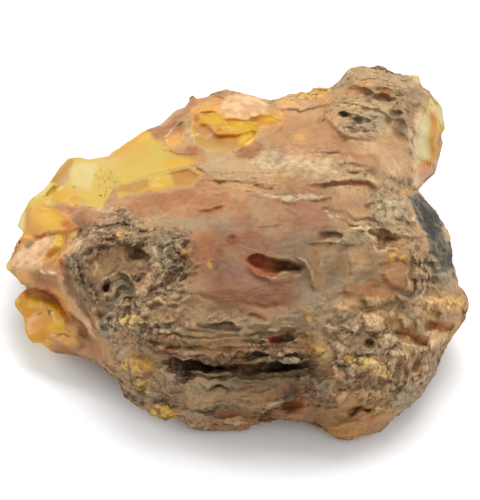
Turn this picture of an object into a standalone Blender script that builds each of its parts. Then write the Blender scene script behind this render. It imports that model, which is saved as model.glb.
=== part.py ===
"""A lump of raw amber, about 110 mm wide, built as one closed solid that rests on a flat face.

The lump is drawn on a sheet that leans back by LEAN. On the sheet, x runs to the right and y runs
down the slope, both in drawing units of UNIT metres. Each place on the sheet has a height above the
table, in millimetres, for the upper skin and another for the hidden underside. The skin is a smooth
body through the heights of BODY, and flat fractures, ledges, ridges, grooves, pits and lumps are
worked into it one after another.
"""

import math

import bmesh
import bpy
import numpy as np
from mathutils import noise

NAME = "raw_amber"

# Driving dimensions
UNIT = 0.238e-3  # metres for one drawing unit, so the lump is 462 units or 110 mm wide
LEAN = math.radians(45)  # how far the drawing sheet leans back from upright
SHEET_CENTRE = (237.0, 252.0)  # drawing units
REST_CENTRE = (0.0002, -0.0172)  # metres; the middle of the lump's footprint before it is centred
MM = 0.001

# How the mesh is laid
HUB = (250.0, 262.0)  # the outline is star-shaped about this point of the sheet
GRID = 72  # squares along each edge of the starting cube
TRIANGLES = 8200  # how many are kept once level stretches are thinned out
FRONT_SHARE = math.radians(112)  # angle from the pole of the upper skin down to the outline
SLIVER = 0.00002  # metres; shorter edges are merged

# How far lines and pits stray from the places they are drawn at
STRAY = 4.0  # drawing units
STRAY_SIZE = (26.0, 26.0)  # drawing units from one stray to the next

# Low steps along the layers that the resin set in
STEP_APART = 23.0  # drawing units from one step of the upper skin to the next
STEP_LIFT = 1.25  # millimetres
STEP_ON_SMOOTH = 0.12  # share of a step's lift that is left on smooth skin
HIDDEN_STEP_APART = 38.0  # drawing units
HIDDEN_STEP_LIFT = 1.1  # millimetres
STEP_EDGE = 0.18  # share of a step over which it breaks off
STEP_WAVER = 0.9  # steps that an edge wanders up and down
WAVER_SIZE = (75.0, 34.0)  # drawing units along and across the layers
STRENGTH_SIZE = (74.0, 46.0)  # drawing units over which steps come and go

# Grain of the whole surface
GRAIN = (130.0, 130.0, 190.0)  # cycles for each metre
GRAIN_PUSH = 0.00055  # metres
GRAIN_FADE = 0.003  # metres above the table over which the grain grows

# How the skin turns under at the outline
RIM = 17.0  # drawing units over which the upper skin rounds off
UNDERSIDE_SLANT = 2.75  # drawing units of undercut for each millimetre of rim height
UNDERSIDE_ROUND = 0.2  # share of the rim's height that is lost in a round turn at the rim
HIDDEN_FADE = 12.0  # drawing units in from the rim over which the hidden side's forms grow
FOOT_FADE = 0.2  # share of the undercut, next to the foot, over which they end
FOOT_SNAP = 0.0004  # metres; lower points belong to the flat foot

# Outline: x and y on the sheet, then the height in millimetres where the skin turns under
OUTLINE = [
    (7, 268, 17), (8, 262, 17), (15, 250, 18), (22, 232, 19), (16, 226, 19), (19, 215, 19),
    (28, 200, 20), (40, 191, 19), (48, 181, 20), (57, 169, 21), (65, 158, 22), (71, 156, 22),
    (79, 156, 23), (84, 159, 23), (107, 156, 25), (113, 151, 26), (133, 139, 28), (160, 124, 30),
    (174, 111, 31), (183, 106, 32), (192, 95, 33), (197, 97, 33), (218, 90, 35), (227, 88, 35),
    (252, 94, 36), (271, 100, 36), (285, 96, 36), (310, 91, 36), (314, 87, 36), (331, 87, 37),
    (340, 82, 37), (345, 75, 38), (350, 69, 38), (363, 65, 38), (384, 65, 36), (390, 69, 36),
    (407, 74, 35), (420, 74, 33), (424, 84, 32), (436, 95, 30), (445, 109, 27), (448, 127, 25),
    (444, 133, 24), (445, 141, 23), (437, 161, 20), (435, 170, 19), (424, 179, 19), (419, 190, 22),
    (424, 199, 25), (438, 212, 25), (448, 233, 23), (452, 253, 21), (453, 265, 20), (459, 287, 18),
    (467, 298, 16), (468, 306, 15), (461, 320, 15), (457, 326, 15), (448, 336, 14), (443, 351, 12),
    (436, 370, 9), (423, 392, 6), (409, 405, 5), (394, 417, 4), (380, 430, 2), (366, 434, 2),
    (349, 440, 2), (337, 438, 2), (320, 427, 4), (306, 421, 6), (277, 418, 7), (251, 424, 4),
    (246, 429, 2), (220, 430, 2), (195, 429, 2), (189, 427, 3), (183, 418, 5), (173, 416, 5),
    (166, 420, 4), (155, 415, 5), (143, 408, 6), (131, 401, 7), (124, 394, 8), (117, 379, 9),
    (104, 369, 9), (95, 361, 9), (80, 356, 9), (52, 353, 8), (46, 349, 8), (41, 343, 8),
    (33, 342, 8), (28, 338, 9), (24, 330, 9), (23, 318, 10), (16, 308, 12), (14, 303, 13),
    (19, 293, 14), (27, 287, 15), (20, 284, 15), (13, 276, 16),
]

# Body: x and y on the sheet, then the height of the upper skin in millimetres
BODY = [
    (30, 215, 21), (28, 245, 21), (30, 275, 19), (36, 315, 13), (52, 300, 15), (62, 340, 12),
    (60, 190, 24), (60, 220, 25), (60, 250, 25.5), (60, 280, 22), (76, 320, 16), (90, 350, 13),
    (90, 175, 27), (90, 205, 29), (90, 235, 31), (90, 265, 30), (92, 295, 26), (102, 330, 20),
    (115, 365, 14), (125, 150, 29), (125, 180, 31.5), (125, 210, 34.5), (125, 240, 36),
    (125, 270, 35), (125, 300, 32), (125, 330, 26.5), (130, 360, 19.5), (135, 390, 12),
    (165, 130, 32), (165, 160, 34), (165, 190, 37), (165, 220, 39), (165, 250, 39), (165, 290, 37),
    (165, 320, 33), (165, 345, 28), (165, 375, 20), (165, 400, 11), (205, 105, 35), (205, 135, 37),
    (205, 165, 39), (205, 200, 41.5), (205, 240, 42), (205, 280, 40.5), (205, 310, 37),
    (205, 340, 31), (205, 375, 22), (205, 400, 14.5), (205, 420, 6), (250, 105, 37.5),
    (250, 135, 39), (250, 165, 41), (250, 200, 43), (250, 240, 43), (250, 285, 40.5),
    (250, 315, 36.5), (250, 345, 30.5), (250, 380, 21.5), (250, 405, 13), (300, 105, 38),
    (300, 135, 40), (300, 165, 42), (300, 200, 43.5), (300, 240, 43), (300, 280, 40),
    (300, 315, 36), (300, 350, 29), (300, 380, 21), (300, 405, 12), (345, 85, 38.5),
    (345, 110, 40.5), (345, 140, 41.5), (345, 170, 42.5), (345, 205, 42.5), (345, 240, 41.5),
    (345, 280, 38.5), (345, 315, 34.5), (345, 350, 28.5), (345, 385, 20.5), (345, 415, 11.5),
    (375, 80, 41), (375, 97, 42.5), (375, 125, 41.5), (375, 160, 41), (385, 200, 40),
    (385, 240, 38), (385, 280, 35), (385, 320, 30), (385, 355, 24.5), (385, 390, 16),
    (405, 88, 39), (405, 110, 39), (405, 140, 37), (405, 170, 34), (415, 220, 34.5),
    (415, 250, 33.5), (420, 290, 29), (420, 325, 24), (415, 360, 18.5), (425, 105, 34),
    (430, 135, 29), (425, 160, 26), (435, 245, 27.5), (445, 285, 24), (452, 308, 20),
]

Z_AXIS = 2


def smooth(t):
    """Ease from 0 to 1 as t goes from 0 to 1."""
    t = np.clip(t, 0.0, 1.0)
    return t * t * (3.0 - 2.0 * t)


def wander(x, y, size, layer):
    """Smooth random values, about -1 to 1, that change over size drawing units along x and y."""
    spots = zip((x / size[0]).tolist(), (y / size[1]).tolist())
    return np.array([noise.noise((across, down, layer)) for across, down in spots])


def flow(x, y):
    """A value that is level along the layers, which bend down the sheet's edges like nested bowls."""
    bend = 0.0035 * (np.clip(x - 300, 0, None) ** 2 + np.clip(200 - x, 0, None) ** 2)
    return y + bend * np.clip((y - 250) / 120, -1, 1)


class Skin:
    """Heights over places on the sheet: places in drawing units, heights in millimetres.

    The left hand of a line is the side that lies to the left of someone who walks along it, so a
    line drawn from left to right has the upper part of the sheet on its left hand.
    """

    def __init__(self, x, y, z):
        self.x = x
        self.y = y
        self.z = z

    def terraces(self, level, spacing, lift, where, layer):
        """Low steps across a level that grows down the sheet: each rises slowly, then breaks off."""
        place = level / spacing + STEP_WAVER * wander(self.x, self.y, WAVER_SIZE, layer)
        step = place - np.floor(place)
        shape = smooth(step / (1 - STEP_EDGE)) * smooth((1 - step) / STEP_EDGE)
        strength = np.clip(0.35 + 1.3 * wander(self.x, self.y, STRENGTH_SIZE, layer + 7), 0, 1)
        self.z = self.z + lift * (shape - 0.5) * strength * where

    def measure(self, line):
        """Distance from a broken line, negative on its right hand, and how far along it, 0 to 1."""
        nearest = np.full(self.x.shape, np.inf)
        hand = np.ones(self.x.shape)
        place = np.zeros(self.x.shape)
        whole = sum(math.dist(a, b) for a, b in zip(line, line[1:]))
        walked = 0.0
        for (ax, ay), (bx, by) in zip(line, line[1:]):
            dx, dy = bx - ax, by - ay
            length = math.hypot(dx, dy)
            along = ((self.x - ax) * dx + (self.y - ay) * dy) / length**2
            held = np.clip(along, 0.0, 1.0)
            gap = np.hypot(self.x - ax - held * dx, self.y - ay - held * dy)
            closer = gap < nearest
            nearest = np.where(closer, gap, nearest)
            hand = np.where(closer, np.sign(dy * (self.x - ax) - dx * (self.y - ay)), hand)
            place = np.where(closer, (walked + along * length) / whole, place)
            walked += length
        return nearest * hand, place

    def stroke(self, line, width, height, fade=0.15):
        """Raise a ridge, or sink a groove with a negative height, along a line."""
        gap, place = self.measure(line)
        bell = np.clip(1.0 - (gap / width) ** 2, 0.0, None) ** 2
        ends = smooth((0.5 - np.abs(place - 0.5)) / fade)
        self.z = self.z + height * bell * ends

    def ledge(self, line, lift, back, cut, front, fade=0.12, edge=3.0):
        """Break the skin along a line: lifted on its left hand, cut away on its right hand."""
        gap, place = self.measure(line)
        ends = smooth((0.5 - np.abs(place - 0.5)) / fade)
        high = lift * np.exp(-np.abs(gap) / back)
        low = -cut * np.exp(-np.abs(gap) / front)
        upper = smooth(gap / (2.0 * edge) + 0.5)
        self.z = self.z + (low + (high - low) * upper) * ends

    def pit(self, x, y, wide, tall, depth, turn=0.0, wall=0.6, lip=0.0):
        """Sink an oval pit, or raise a lump with a negative depth; turn is clockwise, in degrees."""
        turn = math.radians(turn)
        dx, dy = self.x - x, self.y - y
        u = (dx * math.cos(turn) + dy * math.sin(turn)) / wide
        v = (dy * math.cos(turn) - dx * math.sin(turn)) / tall
        reach = np.hypot(u, v)
        self.z = self.z - depth * smooth((1.0 - reach) / wall)
        self.z = self.z + lip * np.exp(-(((reach - 1.0) / 0.3) ** 2))

    def facet(self, corners, soft=3.0):
        """Break a flat face through corners, each given as x, y and height."""
        points = np.array(corners, float)
        fit = np.column_stack((points[:, :2], np.ones(len(points))))
        slope_x, slope_y, level = np.linalg.lstsq(fit, points[:, Z_AXIS], rcond=None)[0]
        plane = slope_x * self.x + slope_y * self.y + level
        share = smooth(inset(points[:, :2], self.x, self.y) / soft + 0.5)
        self.z = self.z + (plane - self.z) * share


def inset(corners, x, y):
    """How far places lie inside a polygon, in drawing units, negative where they lie outside."""
    nearest = np.full(x.shape, np.inf)
    inside = np.zeros(x.shape, bool)
    for (ax, ay), (bx, by) in zip(corners, np.roll(corners, -1, axis=0)):
        dx, dy = bx - ax, by - ay
        held = np.clip(((x - ax) * dx + (y - ay) * dy) / (dx * dx + dy * dy), 0.0, 1.0)
        nearest = np.minimum(nearest, np.hypot(x - ax - held * dx, y - ay - held * dy))
        crosses = (ay > y) != (by > y)
        run = dx * (y - ay) / np.where(dy == 0.0, 1.0, dy) + ax
        inside ^= crosses & (x < run)
    return np.where(inside, nearest, -nearest)


def body_heights(x, y):
    """The smooth body: a thin plate bent through the heights of BODY."""
    knots = np.array(BODY, float)
    scale = 100.0
    kx, ky = knots[:, 0] / scale, knots[:, 1] / scale

    def bend(dx, dy):
        square = dx * dx + dy * dy
        return square * np.log(square + 1e-12)

    flat = np.column_stack((np.ones(len(knots)), kx, ky))
    stiff = bend(kx[:, None] - kx, ky[:, None] - ky) + 0.01 * np.eye(len(knots))
    system = np.block([[stiff, flat], [flat.T, np.zeros((3, 3))]])
    weights = np.linalg.solve(system, np.concatenate((knots[:, Z_AXIS], np.zeros(3))))
    heights = weights[-3] + weights[-2] * x / scale + weights[-1] * y / scale
    for weight, knot_x, knot_y in zip(weights, kx, ky):
        heights = heights + weight * bend(x / scale - knot_x, y / scale - knot_y)
    return heights


def outline_reach(angle):
    """Where rays from the hub meet the outline: distance on the sheet, and rim height."""
    points = np.array(OUTLINE, float)
    turns = np.arctan2(points[:, 1] - HUB[1], points[:, 0] - HUB[0])
    points = points[np.argsort(turns)]
    turns = np.sort(turns)
    after = np.searchsorted(turns, angle) % len(turns)
    a, b = points[after - 1], points[after]
    ax, ay = a[:, 0] - HUB[0], a[:, 1] - HUB[1]
    dx, dy = b[:, 0] - a[:, 0], b[:, 1] - a[:, 1]
    ray_x, ray_y = np.cos(angle), np.sin(angle)
    cross = ray_x * dy - ray_y * dx
    reach = (ax * dy - ay * dx) / cross
    share = (ax * ray_y - ay * ray_x) / cross
    return reach, a[:, Z_AXIS] + share * (b[:, Z_AXIS] - a[:, Z_AXIS])


def eased_reach(angle):
    """The outline's distance from the hub with its small steps smoothed away."""
    samples = 720
    turns = np.linspace(-math.pi, math.pi, samples, endpoint=False)
    reach = outline_reach(turns)[0]
    width = 24
    bell = np.exp(-((np.arange(-3 * width, 3 * width + 1) / width) ** 2))
    padded = np.concatenate((reach[-3 * width :], reach, reach[: 3 * width]))
    eased = np.convolve(padded, bell / bell.sum(), mode="valid")
    return np.interp(angle, turns, eased, period=2 * math.pi)


def windows(skin):
    """Flat glassy breaks on the upper left shoulder."""
    skin.facet([(66, 157, 21), (72, 156, 22), (70, 184, 23.5), (80, 204, 26), (59, 206, 23),
                (42, 194, 19)])
    skin.facet([(72, 156, 22.5), (111, 153, 26.5), (113, 174, 30), (97, 207, 30.5),
                (80, 204, 27.5), (70, 184, 25)])
    skin.facet([(113, 154, 26.5), (134, 140, 29), (160, 127, 32), (172, 141, 34.5), (189, 150, 36.5),
                (188, 168, 37), (152, 178, 34.5), (113, 191, 31.5), (101, 205, 30.5)])
    skin.facet([(22, 213, 19.5), (46, 207, 23), (82, 206, 27.5), (84, 226, 28.5), (54, 235, 24),
                (22, 229, 19.5)])
    skin.facet([(150, 178, 35), (168, 170, 36.5), (200, 168, 39), (196, 182, 39),
                (168, 189, 37), (152, 190, 35.5)])
    skin.ledge([(86, 213), (72, 209), (58, 206), (43, 208), (30, 206)], 1.0, 8, 0.8, 7)
    skin.ledge([(22, 231), (40, 236), (56, 236), (72, 231), (88, 228)], 0.5, 8, 1.4, 8)
    skin.ledge([(206, 175), (196, 183), (180, 188), (155, 190), (130, 193), (113, 200), (96, 211)],
               1.0, 14, 0.6, 10)


def crown(skin):
    """The back of the top: conchoidal breaks and a round shoulder along the crest."""
    skin.facet([(166, 146, 33.5), (172, 131, 32), (184, 117, 32.5), (192, 122, 34.5),
                (186, 140, 36), (171, 148, 35)])
    skin.pit(228, 131, 36, 20, 1.9, turn=6, wall=0.75)
    skin.pit(212, 138, 20, 11, -1.1, turn=-12)
    skin.pit(250, 106, 24, 13, -1.2, turn=5)
    skin.ledge([(248, 114), (262, 114), (281, 122)], 0.8, 8, 1.0, 8)
    skin.ledge([(153, 145), (173, 152), (186, 154), (202, 152)], 0.9, 10, 1.6, 8)
    skin.facet([(276, 98, 37), (324, 94, 38), (326, 104, 39), (300, 112, 39.5), (278, 108, 38.5)])
    skin.stroke([(320, 114), (334, 130), (347, 146)], 7, -1.4)
    skin.ledge([(246, 158), (262, 150), (290, 146), (322, 149), (342, 158)], 0.9, 16, 0.7, 8)
    skin.pit(358, 163, 34, 14, -1.7, turn=8)
    skin.stroke([(246, 171), (300, 168), (342, 176)], 6, 0.7)


def horn(skin):
    """The crusty knob at the upper right, and the smooth band down its right side."""
    skin.pit(366, 79, 19, 12, -1.6, turn=-8)
    skin.pit(394, 85, 19, 12, -1.4, turn=15)
    skin.pit(384, 98, 15, 6, 2.0, turn=12)
    skin.pit(349, 116, 10, 7, 1.8, turn=30)
    skin.pit(396, 114, 8, 6, 1.7)
    skin.stroke([(388, 116), (400, 126), (411, 146)], 8, -1.5)
    skin.ledge([(420, 176), (416, 156), (411, 134), (408, 118), (404, 106)], 1.0, 10, 1.2, 12)
    skin.pit(430, 104, 10, 12, -1.0, turn=25)
    skin.stroke([(424, 190), (404, 187), (386, 184)], 12, -1.8)


def seams(skin):
    """Long open seams that cross the top from side to side."""
    skin.ledge([(292, 189), (330, 184), (352, 181), (372, 186), (396, 190)], 0.8, 12, 1.5, 10, edge=4)
    skin.ledge([(248, 186), (264, 187), (280, 187)], 0.5, 8, 1.0, 6)
    skin.stroke([(244, 195), (285, 196), (312, 195), (344, 200)], 7, 0.9)
    skin.ledge([(192, 208), (212, 211), (234, 207)], 0.5, 9, 1.0, 8)
    skin.pit(230, 242, 10, 8, 1.3)
    skin.stroke([(281, 222), (290, 250), (301, 276), (315, 302)], 12, -0.9)
    skin.pit(306, 262, 24, 28, -0.9, turn=-10, wall=0.9)
    skin.pit(225, 292, 46, 20, -0.8, turn=4, wall=0.9)


def eye(skin):
    """The long almond-shaped cavity in the middle, deep under its upper edge."""
    skin.pit(276, 263, 33, 12.5, 4.6, turn=8, wall=0.55)
    skin.ledge([(244, 257), (258, 253), (280, 252), (300, 259), (316, 268)], 0.8, 8, 0.9, 8)
    skin.stroke([(244, 259), (258, 274), (276, 279), (300, 282)], 7, 0.8)


def flank(skin):
    """The right side: a cavity under a pale lip, knobs, slots and the blunt tip."""
    skin.facet([(407, 193, 34), (424, 199, 30.5), (438, 212, 28), (449, 240, 24.5),
                (450, 256, 24), (440, 254, 27.5), (428, 236, 31.5), (416, 214, 34)], soft=4)
    skin.pit(382, 237, 18, 11, 2.8, turn=8, wall=0.7)
    skin.ledge([(338, 231), (360, 227), (370, 236), (380, 247), (408, 250)][::-1], 0.7, 8, 0.8, 8)
    skin.stroke([(317, 234), (329, 237), (343, 238)], 5, -1.2)
    skin.pit(393, 276, 15, 15, -1.4, turn=-20)
    skin.stroke([(409, 250), (408, 275), (412, 304)], 5, -1.2)
    skin.pit(441, 268, 14, 18, -1.3, turn=-15)
    skin.pit(372, 321, 13, 11, -1.4)
    skin.pit(346, 305, 16, 12, -0.8)
    skin.pit(447, 305, 22, 14, -1.7, turn=12)
    skin.stroke([(422, 325), (440, 328), (457, 330)], 7, -2.3)
    skin.stroke([(392, 328), (410, 335), (430, 345)], 7, -1.9)
    skin.pit(369, 343, 8, 6, 1.2)
    skin.pit(372, 368, 24, 12, -1.1, turn=18)
    skin.pit(326, 384, 10, 9, -1.2)
    skin.stroke([(402, 346), (408, 366), (403, 390)], 7, 1.1)
    skin.stroke([(418, 344), (424, 360), (420, 380)], 6, 1.0)
    skin.stroke([(344, 412), (360, 407), (376, 412)], 6, -1.3)
    skin.pit(350, 428, 26, 11, -1.5, turn=-4)


def rib_and_lobes(skin):
    """The left end: slanting flutes, a long smooth rib, and the lobe that hangs under it."""
    skin.stroke([(48, 262), (58, 246), (70, 231)], 7, -1.3)
    skin.stroke([(64, 258), (76, 244), (88, 232)], 6, -1.0)
    skin.stroke([(10, 268), (36, 271), (60, 276), (76, 288), (88, 306)], 12, 1.3)
    skin.ledge([(18, 288), (40, 290), (57, 299), (71, 312), (86, 330), (98, 350)], 0.9, 10, 3.2, 15, edge=2)
    skin.facet([(16, 302, 13), (40, 297, 14.5), (66, 318, 14), (60, 334, 12), (30, 336, 10),
                (22, 316, 11)], soft=5)
    skin.pit(66, 340, 16, 9, -0.9, turn=12)


def crust(skin):
    """The rough patch right of the lobes: a recess, a deep crack and lumps."""
    skin.pit(130, 259, 18, 14, 2.6, turn=-5)
    skin.pit(107, 286, 9, 8, 2.0)
    skin.stroke([(189, 254), (175, 268), (162, 292)], 9, -2.1)
    skin.stroke([(157, 258), (150, 280), (140, 300)], 9, 1.6)
    skin.pit(86, 252, 17, 11, -1.2, turn=20)
    skin.pit(104, 225, 22, 10, -1.0, turn=14)
    skin.pit(122, 298, 16, 10, -1.3, turn=40)
    skin.pit(104, 318, 10, 16, 1.2, turn=-35)
    skin.pit(134, 322, 18, 9, -1.0, turn=10)
    skin.stroke([(56, 254), (66, 272), (73, 291), (86, 311), (99, 338)], 5, -0.9)


def front(skin):
    """The steep front: stepped bands above a long dark crevice, and the ledge below it."""
    skin.ledge([(196, 322), (220, 322), (242, 327)], 0.5, 10, 1.0, 8)
    skin.ledge([(150, 331), (200, 335), (246, 331), (306, 328)], 0.9, 12, 0.8, 8)
    skin.pit(279, 338, 16, 8, 3.0, turn=-6)
    skin.ledge([(146, 350), (186, 353), (221, 352), (227, 361), (236, 353), (272, 351), (279, 358),
                (288, 351), (330, 349)], 1.5, 9, 1.5, 10, fade=0.06)
    skin.stroke([(156, 360), (186, 364), (226, 367), (262, 366), (296, 362), (326, 357)],
                11, -4.6, fade=0.2)
    skin.stroke([(186, 365), (212, 368), (250, 367)], 10, -3.2, fade=0.4)
    skin.stroke([(266, 366), (286, 365), (304, 361)], 8, -2.4, fade=0.4)
    skin.stroke([(242, 361), (276, 358), (312, 355)], 5, 1.8)
    skin.ledge([(340, 372), (300, 373), (260, 378), (210, 378), (160, 370)], 1.4, 16, 0.6, 8, fade=0.08)
    skin.pit(256, 392, 50, 17, -1.2, turn=-4, wall=0.8)
    skin.pit(289, 402, 14, 10, 4.0, turn=-14)
    skin.ledge([(196, 402), (232, 406), (263, 414), (271, 407), (298, 392)], 0.8, 10, 2.2, 9)
    skin.stroke([(182, 418), (215, 420), (250, 418)], 11, 1.6)
    skin.pit(139, 366, 14, 11, -1.4, turn=-12)
    skin.pit(143, 387, 12, 10, 1.2)
    skin.pit(164, 409, 12, 9, -1.2, turn=15)
    skin.pit(318, 352, 9, 8, -1.2)


def hidden_side(skin):
    """Broad breaks and shelves on the back and under the overhang; here a rise is a dent inward."""
    skin.ledge([(410, 118), (330, 136), (262, 144), (190, 150), (120, 176)], 1.6, 16, 1.4, 12)
    skin.pit(166, 168, 40, 26, -2.2, turn=-25, wall=0.9)
    skin.pit(256, 126, 44, 24, 2.0, turn=5, wall=0.9)
    skin.pit(352, 128, 34, 24, -1.8, turn=-10, wall=0.9)
    skin.stroke([(206, 108), (222, 136), (214, 170)], 16, 1.5)
    skin.pit(306, 160, 30, 14, 1.6, turn=6)
    skin.pit(432, 250, 18, 26, -1.6, turn=-10, wall=0.8)
    skin.pit(60, 230, 22, 26, -1.8, turn=30, wall=0.8)
    skin.stroke([(12, 262), (44, 250), (80, 240)], 10, 1.6)


REGIONS = (windows, crown, horn, seams, eye, flank, rib_and_lobes, crust, front)

# Stretches of skin that broke or grew smooth, as corners on the sheet
SMOOTH_SKIN = [
    [(10, 210), (70, 150), (200, 88), (262, 90), (284, 150), (206, 176), (110, 204), (80, 232), (20, 236)],
    [(118, 196), (206, 178), (240, 200), (226, 226), (150, 226)],
    [(278, 114), (320, 108), (350, 140), (404, 134), (408, 168), (380, 176), (340, 150), (282, 146)],
    [(20, 262), (60, 262), (84, 310), (110, 360), (20, 345), (8, 280)],
    [(404, 190), (452, 206), (454, 262), (436, 256), (414, 220)],
]


def rough_share(x, y):
    """How rough the skin is: 0 on smooth stretches, 1 on the weathered crust."""
    rough = np.ones(x.shape)
    for corners in SMOOTH_SKIN:
        rough = np.minimum(rough, 1 - smooth(inset(np.array(corners, float), x, y) / 12 + 0.5))
    return rough


def cube_sphere(squares):
    """Corners and squares of a cube's surface, with the corners pushed out to a unit sphere."""
    steps = np.arange(squares + 1)
    p, q = (grid.ravel() for grid in np.meshgrid(steps, steps, indexing="ij"))
    sides = []
    for axis in range(3):
        for level in (0, squares):
            side = np.empty((len(p), 3), int)
            side[:, axis] = level
            side[:, (axis + 1) % 3] = p if level else q
            side[:, (axis + 2) % 3] = q if level else p
            sides.append(side)
    lattice, where = np.unique(np.concatenate(sides), axis=0, return_inverse=True)
    where = where.reshape(len(sides), squares + 1, squares + 1)
    loops = (where[:, :-1, :-1], where[:, 1:, :-1], where[:, 1:, 1:], where[:, :-1, 1:])
    quads = np.stack([loop.ravel() for loop in loops], axis=1)
    warped = np.tan((lattice / squares * 2.0 - 1.0) * math.pi / 4.0)
    return warped / np.linalg.norm(warped, axis=1)[:, None], quads


def lay_on_sheet(directions):
    """Lay a sphere's points over the outline, front and back, and give their sheet places."""
    angle = np.arctan2(-directions[:, 1], directions[:, 0])
    lean = np.arccos(np.clip(directions[:, Z_AXIS], -1.0, 1.0))
    faces_up = lean <= FRONT_SHARE
    share = np.where(faces_up, lean / FRONT_SHARE, (math.pi - lean) / (math.pi - FRONT_SHARE))
    ring = np.sin(share * math.pi / 2.0)
    reach, rim_height = outline_reach(angle)
    inner = eased_reach(angle)
    reach = inner + (reach - inner) * ring**5
    x = HUB[0] + reach * ring * np.cos(angle)
    y = HUB[1] + reach * ring * np.sin(angle)
    away = inner * (1.0 - ring)
    return x, y, away, rim_height, faces_up


def skin_heights(x, y, away, rim_height, faces_up):
    """Height in millimetres of each point, on the upper skin or on the hidden side."""
    depth = np.clip(inset(np.array(OUTLINE, float)[:, :2], x, y), 0.0, None)
    stray_x = STRAY * wander(x, y, STRAY_SIZE, 1.5)
    stray_y = STRAY * wander(x, y, STRAY_SIZE, 6.5)
    upper = Skin(x + stray_x, y + stray_y, body_heights(x, y))
    stepped = STEP_ON_SMOOTH + (1 - STEP_ON_SMOOTH) * rough_share(x, y)
    upper.terraces(flow(x, y), STEP_APART, STEP_LIFT, stepped, 3.5)
    for region in REGIONS:
        region(upper)
    turn = np.sqrt(np.clip(1.0 - np.clip(1.0 - depth / RIM, 0.0, 1.0) ** 2, 0.0, 1.0))
    front_height = rim_height + (np.maximum(upper.z, rim_height) - rim_height) * turn
    fall = np.clip(away / (UNDERSIDE_SLANT * rim_height), 0.0, 1.0)
    quick_turn = UNDERSIDE_ROUND * np.sqrt(1.0 - (1.0 - fall) ** 2)
    plain = rim_height * (1.0 - (1.0 - UNDERSIDE_ROUND) * fall - quick_turn)
    under = Skin(x + stray_x, y + stray_y, plain)
    under.terraces(-plain * MM / UNIT, HIDDEN_STEP_APART, HIDDEN_STEP_LIFT, 1.0, 9.5)
    hidden_side(under)
    under.z = plain + (under.z - plain) * smooth(away / HIDDEN_FADE) * smooth((1.0 - fall) / FOOT_FADE)
    return np.where(faces_up, front_height, np.clip(under.z, 0.0, None))


def stand_up(x, y, height):
    """Turn sheet places and heights into points in metres, on a table at z = 0."""
    right = (x - SHEET_CENTRE[0]) * UNIT
    up_sheet = (SHEET_CENTRE[1] - y) * UNIT
    rise = height * MM
    away = (up_sheet - rise * math.cos(LEAN)) / math.sin(LEAN)
    return np.column_stack((right - REST_CENTRE[0], away - REST_CENTRE[1], rise))


def roughen(points, normals):
    """Push the points in and out along their normals, as weathering did."""
    moved = points.copy()
    for index, (point, normal) in enumerate(zip(points, normals)):
        push = GRAIN_PUSH * noise.fractal((point * GRAIN).tolist(), 0.9, 2.1, 3)
        moved[index] += normal * push * min(1.0, point[Z_AXIS] / GRAIN_FADE)
    return moved


def face_normals(points, quads):
    """Unit normals at the points, from the squares around each."""
    a, b, c, d = (points[quads[:, corner]] for corner in range(4))
    across = np.cross(c - a, d - b)
    normals = np.zeros_like(points)
    for corner in range(4):
        np.add.at(normals, quads[:, corner], across)
    return normals / np.maximum(np.linalg.norm(normals, axis=1), 1e-12)[:, None]


def build_mesh():
    """The lump as a dense mesh of squares."""
    directions, quads = cube_sphere(GRID)
    x, y, away, rim_height, faces_up = lay_on_sheet(directions)
    points = stand_up(x, y, skin_heights(x, y, away, rim_height, faces_up))
    points = roughen(points, face_normals(points, quads))
    points[:, Z_AXIS] = np.clip(points[:, Z_AXIS], 0.0, None)
    mesh = bpy.data.meshes.new(NAME)
    mesh.from_pydata(points.tolist(), [], quads.tolist())
    return mesh


def thin_out(lump):
    """Keep the points that the form needs, and settle the foot back onto the table."""
    thinner = lump.modifiers.new("thin_out", "DECIMATE")
    thinner.ratio = TRIANGLES / (len(lump.data.polygons) * 2)
    thinner.use_collapse_triangulate = True
    evaluated = lump.evaluated_get(bpy.context.evaluated_depsgraph_get())
    mesh = bpy.data.meshes.new_from_object(evaluated)
    lump.modifiers.clear()
    lump.data = mesh
    mesh.name = NAME
    work = bmesh.new()
    work.from_mesh(mesh)
    for vertex in work.verts:
        if vertex.co.z < FOOT_SNAP:
            vertex.co.z = 0.0
    bmesh.ops.dissolve_degenerate(work, dist=SLIVER, edges=work.edges)
    bmesh.ops.triangulate(work, faces=work.faces)
    bmesh.ops.recalc_face_normals(work, faces=work.faces)
    work.to_mesh(mesh)
    work.free()


def amber():
    """The lump's material: brown-pink weathered amber."""
    material = bpy.data.materials.new("amber")
    material.use_nodes = True
    shader = material.node_tree.nodes["Principled BSDF"]
    shader.inputs["Base Color"].default_value = (0.42, 0.24, 0.13, 1.0)
    shader.inputs["Roughness"].default_value = 0.5
    shader.inputs["Metallic"].default_value = 0.0
    return material


def main():
    """Clear the scene and build the lump."""
    for other in list(bpy.data.objects):
        bpy.data.objects.remove(other)
    lump = bpy.data.objects.new(NAME, build_mesh())
    bpy.context.collection.objects.link(lump)
    thin_out(lump)
    lump.data.materials.append(amber())


main()
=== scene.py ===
"""The visible lump of raw amber: fine skin, clear windows, milky rind and weathered crust.

The lump is drawn on a sheet that leans back, as its solid is: x runs to the right and y down the
slope, in drawing units, and each place has a height above the table in millimetres. The same named
forms shape both, and the fine skin adds what only the eye meets: small ledges, cracks, crumbs and
the zones of colour. Zones are soft shares from 0 to 1 that the material breaks up with noise.
"""

from __future__ import annotations

import logging
import math
from dataclasses import dataclass, field
from enum import Enum
from typing import Any, Callable, Sequence

import bpy
import numpy as np
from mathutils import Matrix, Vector, noise

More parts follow.
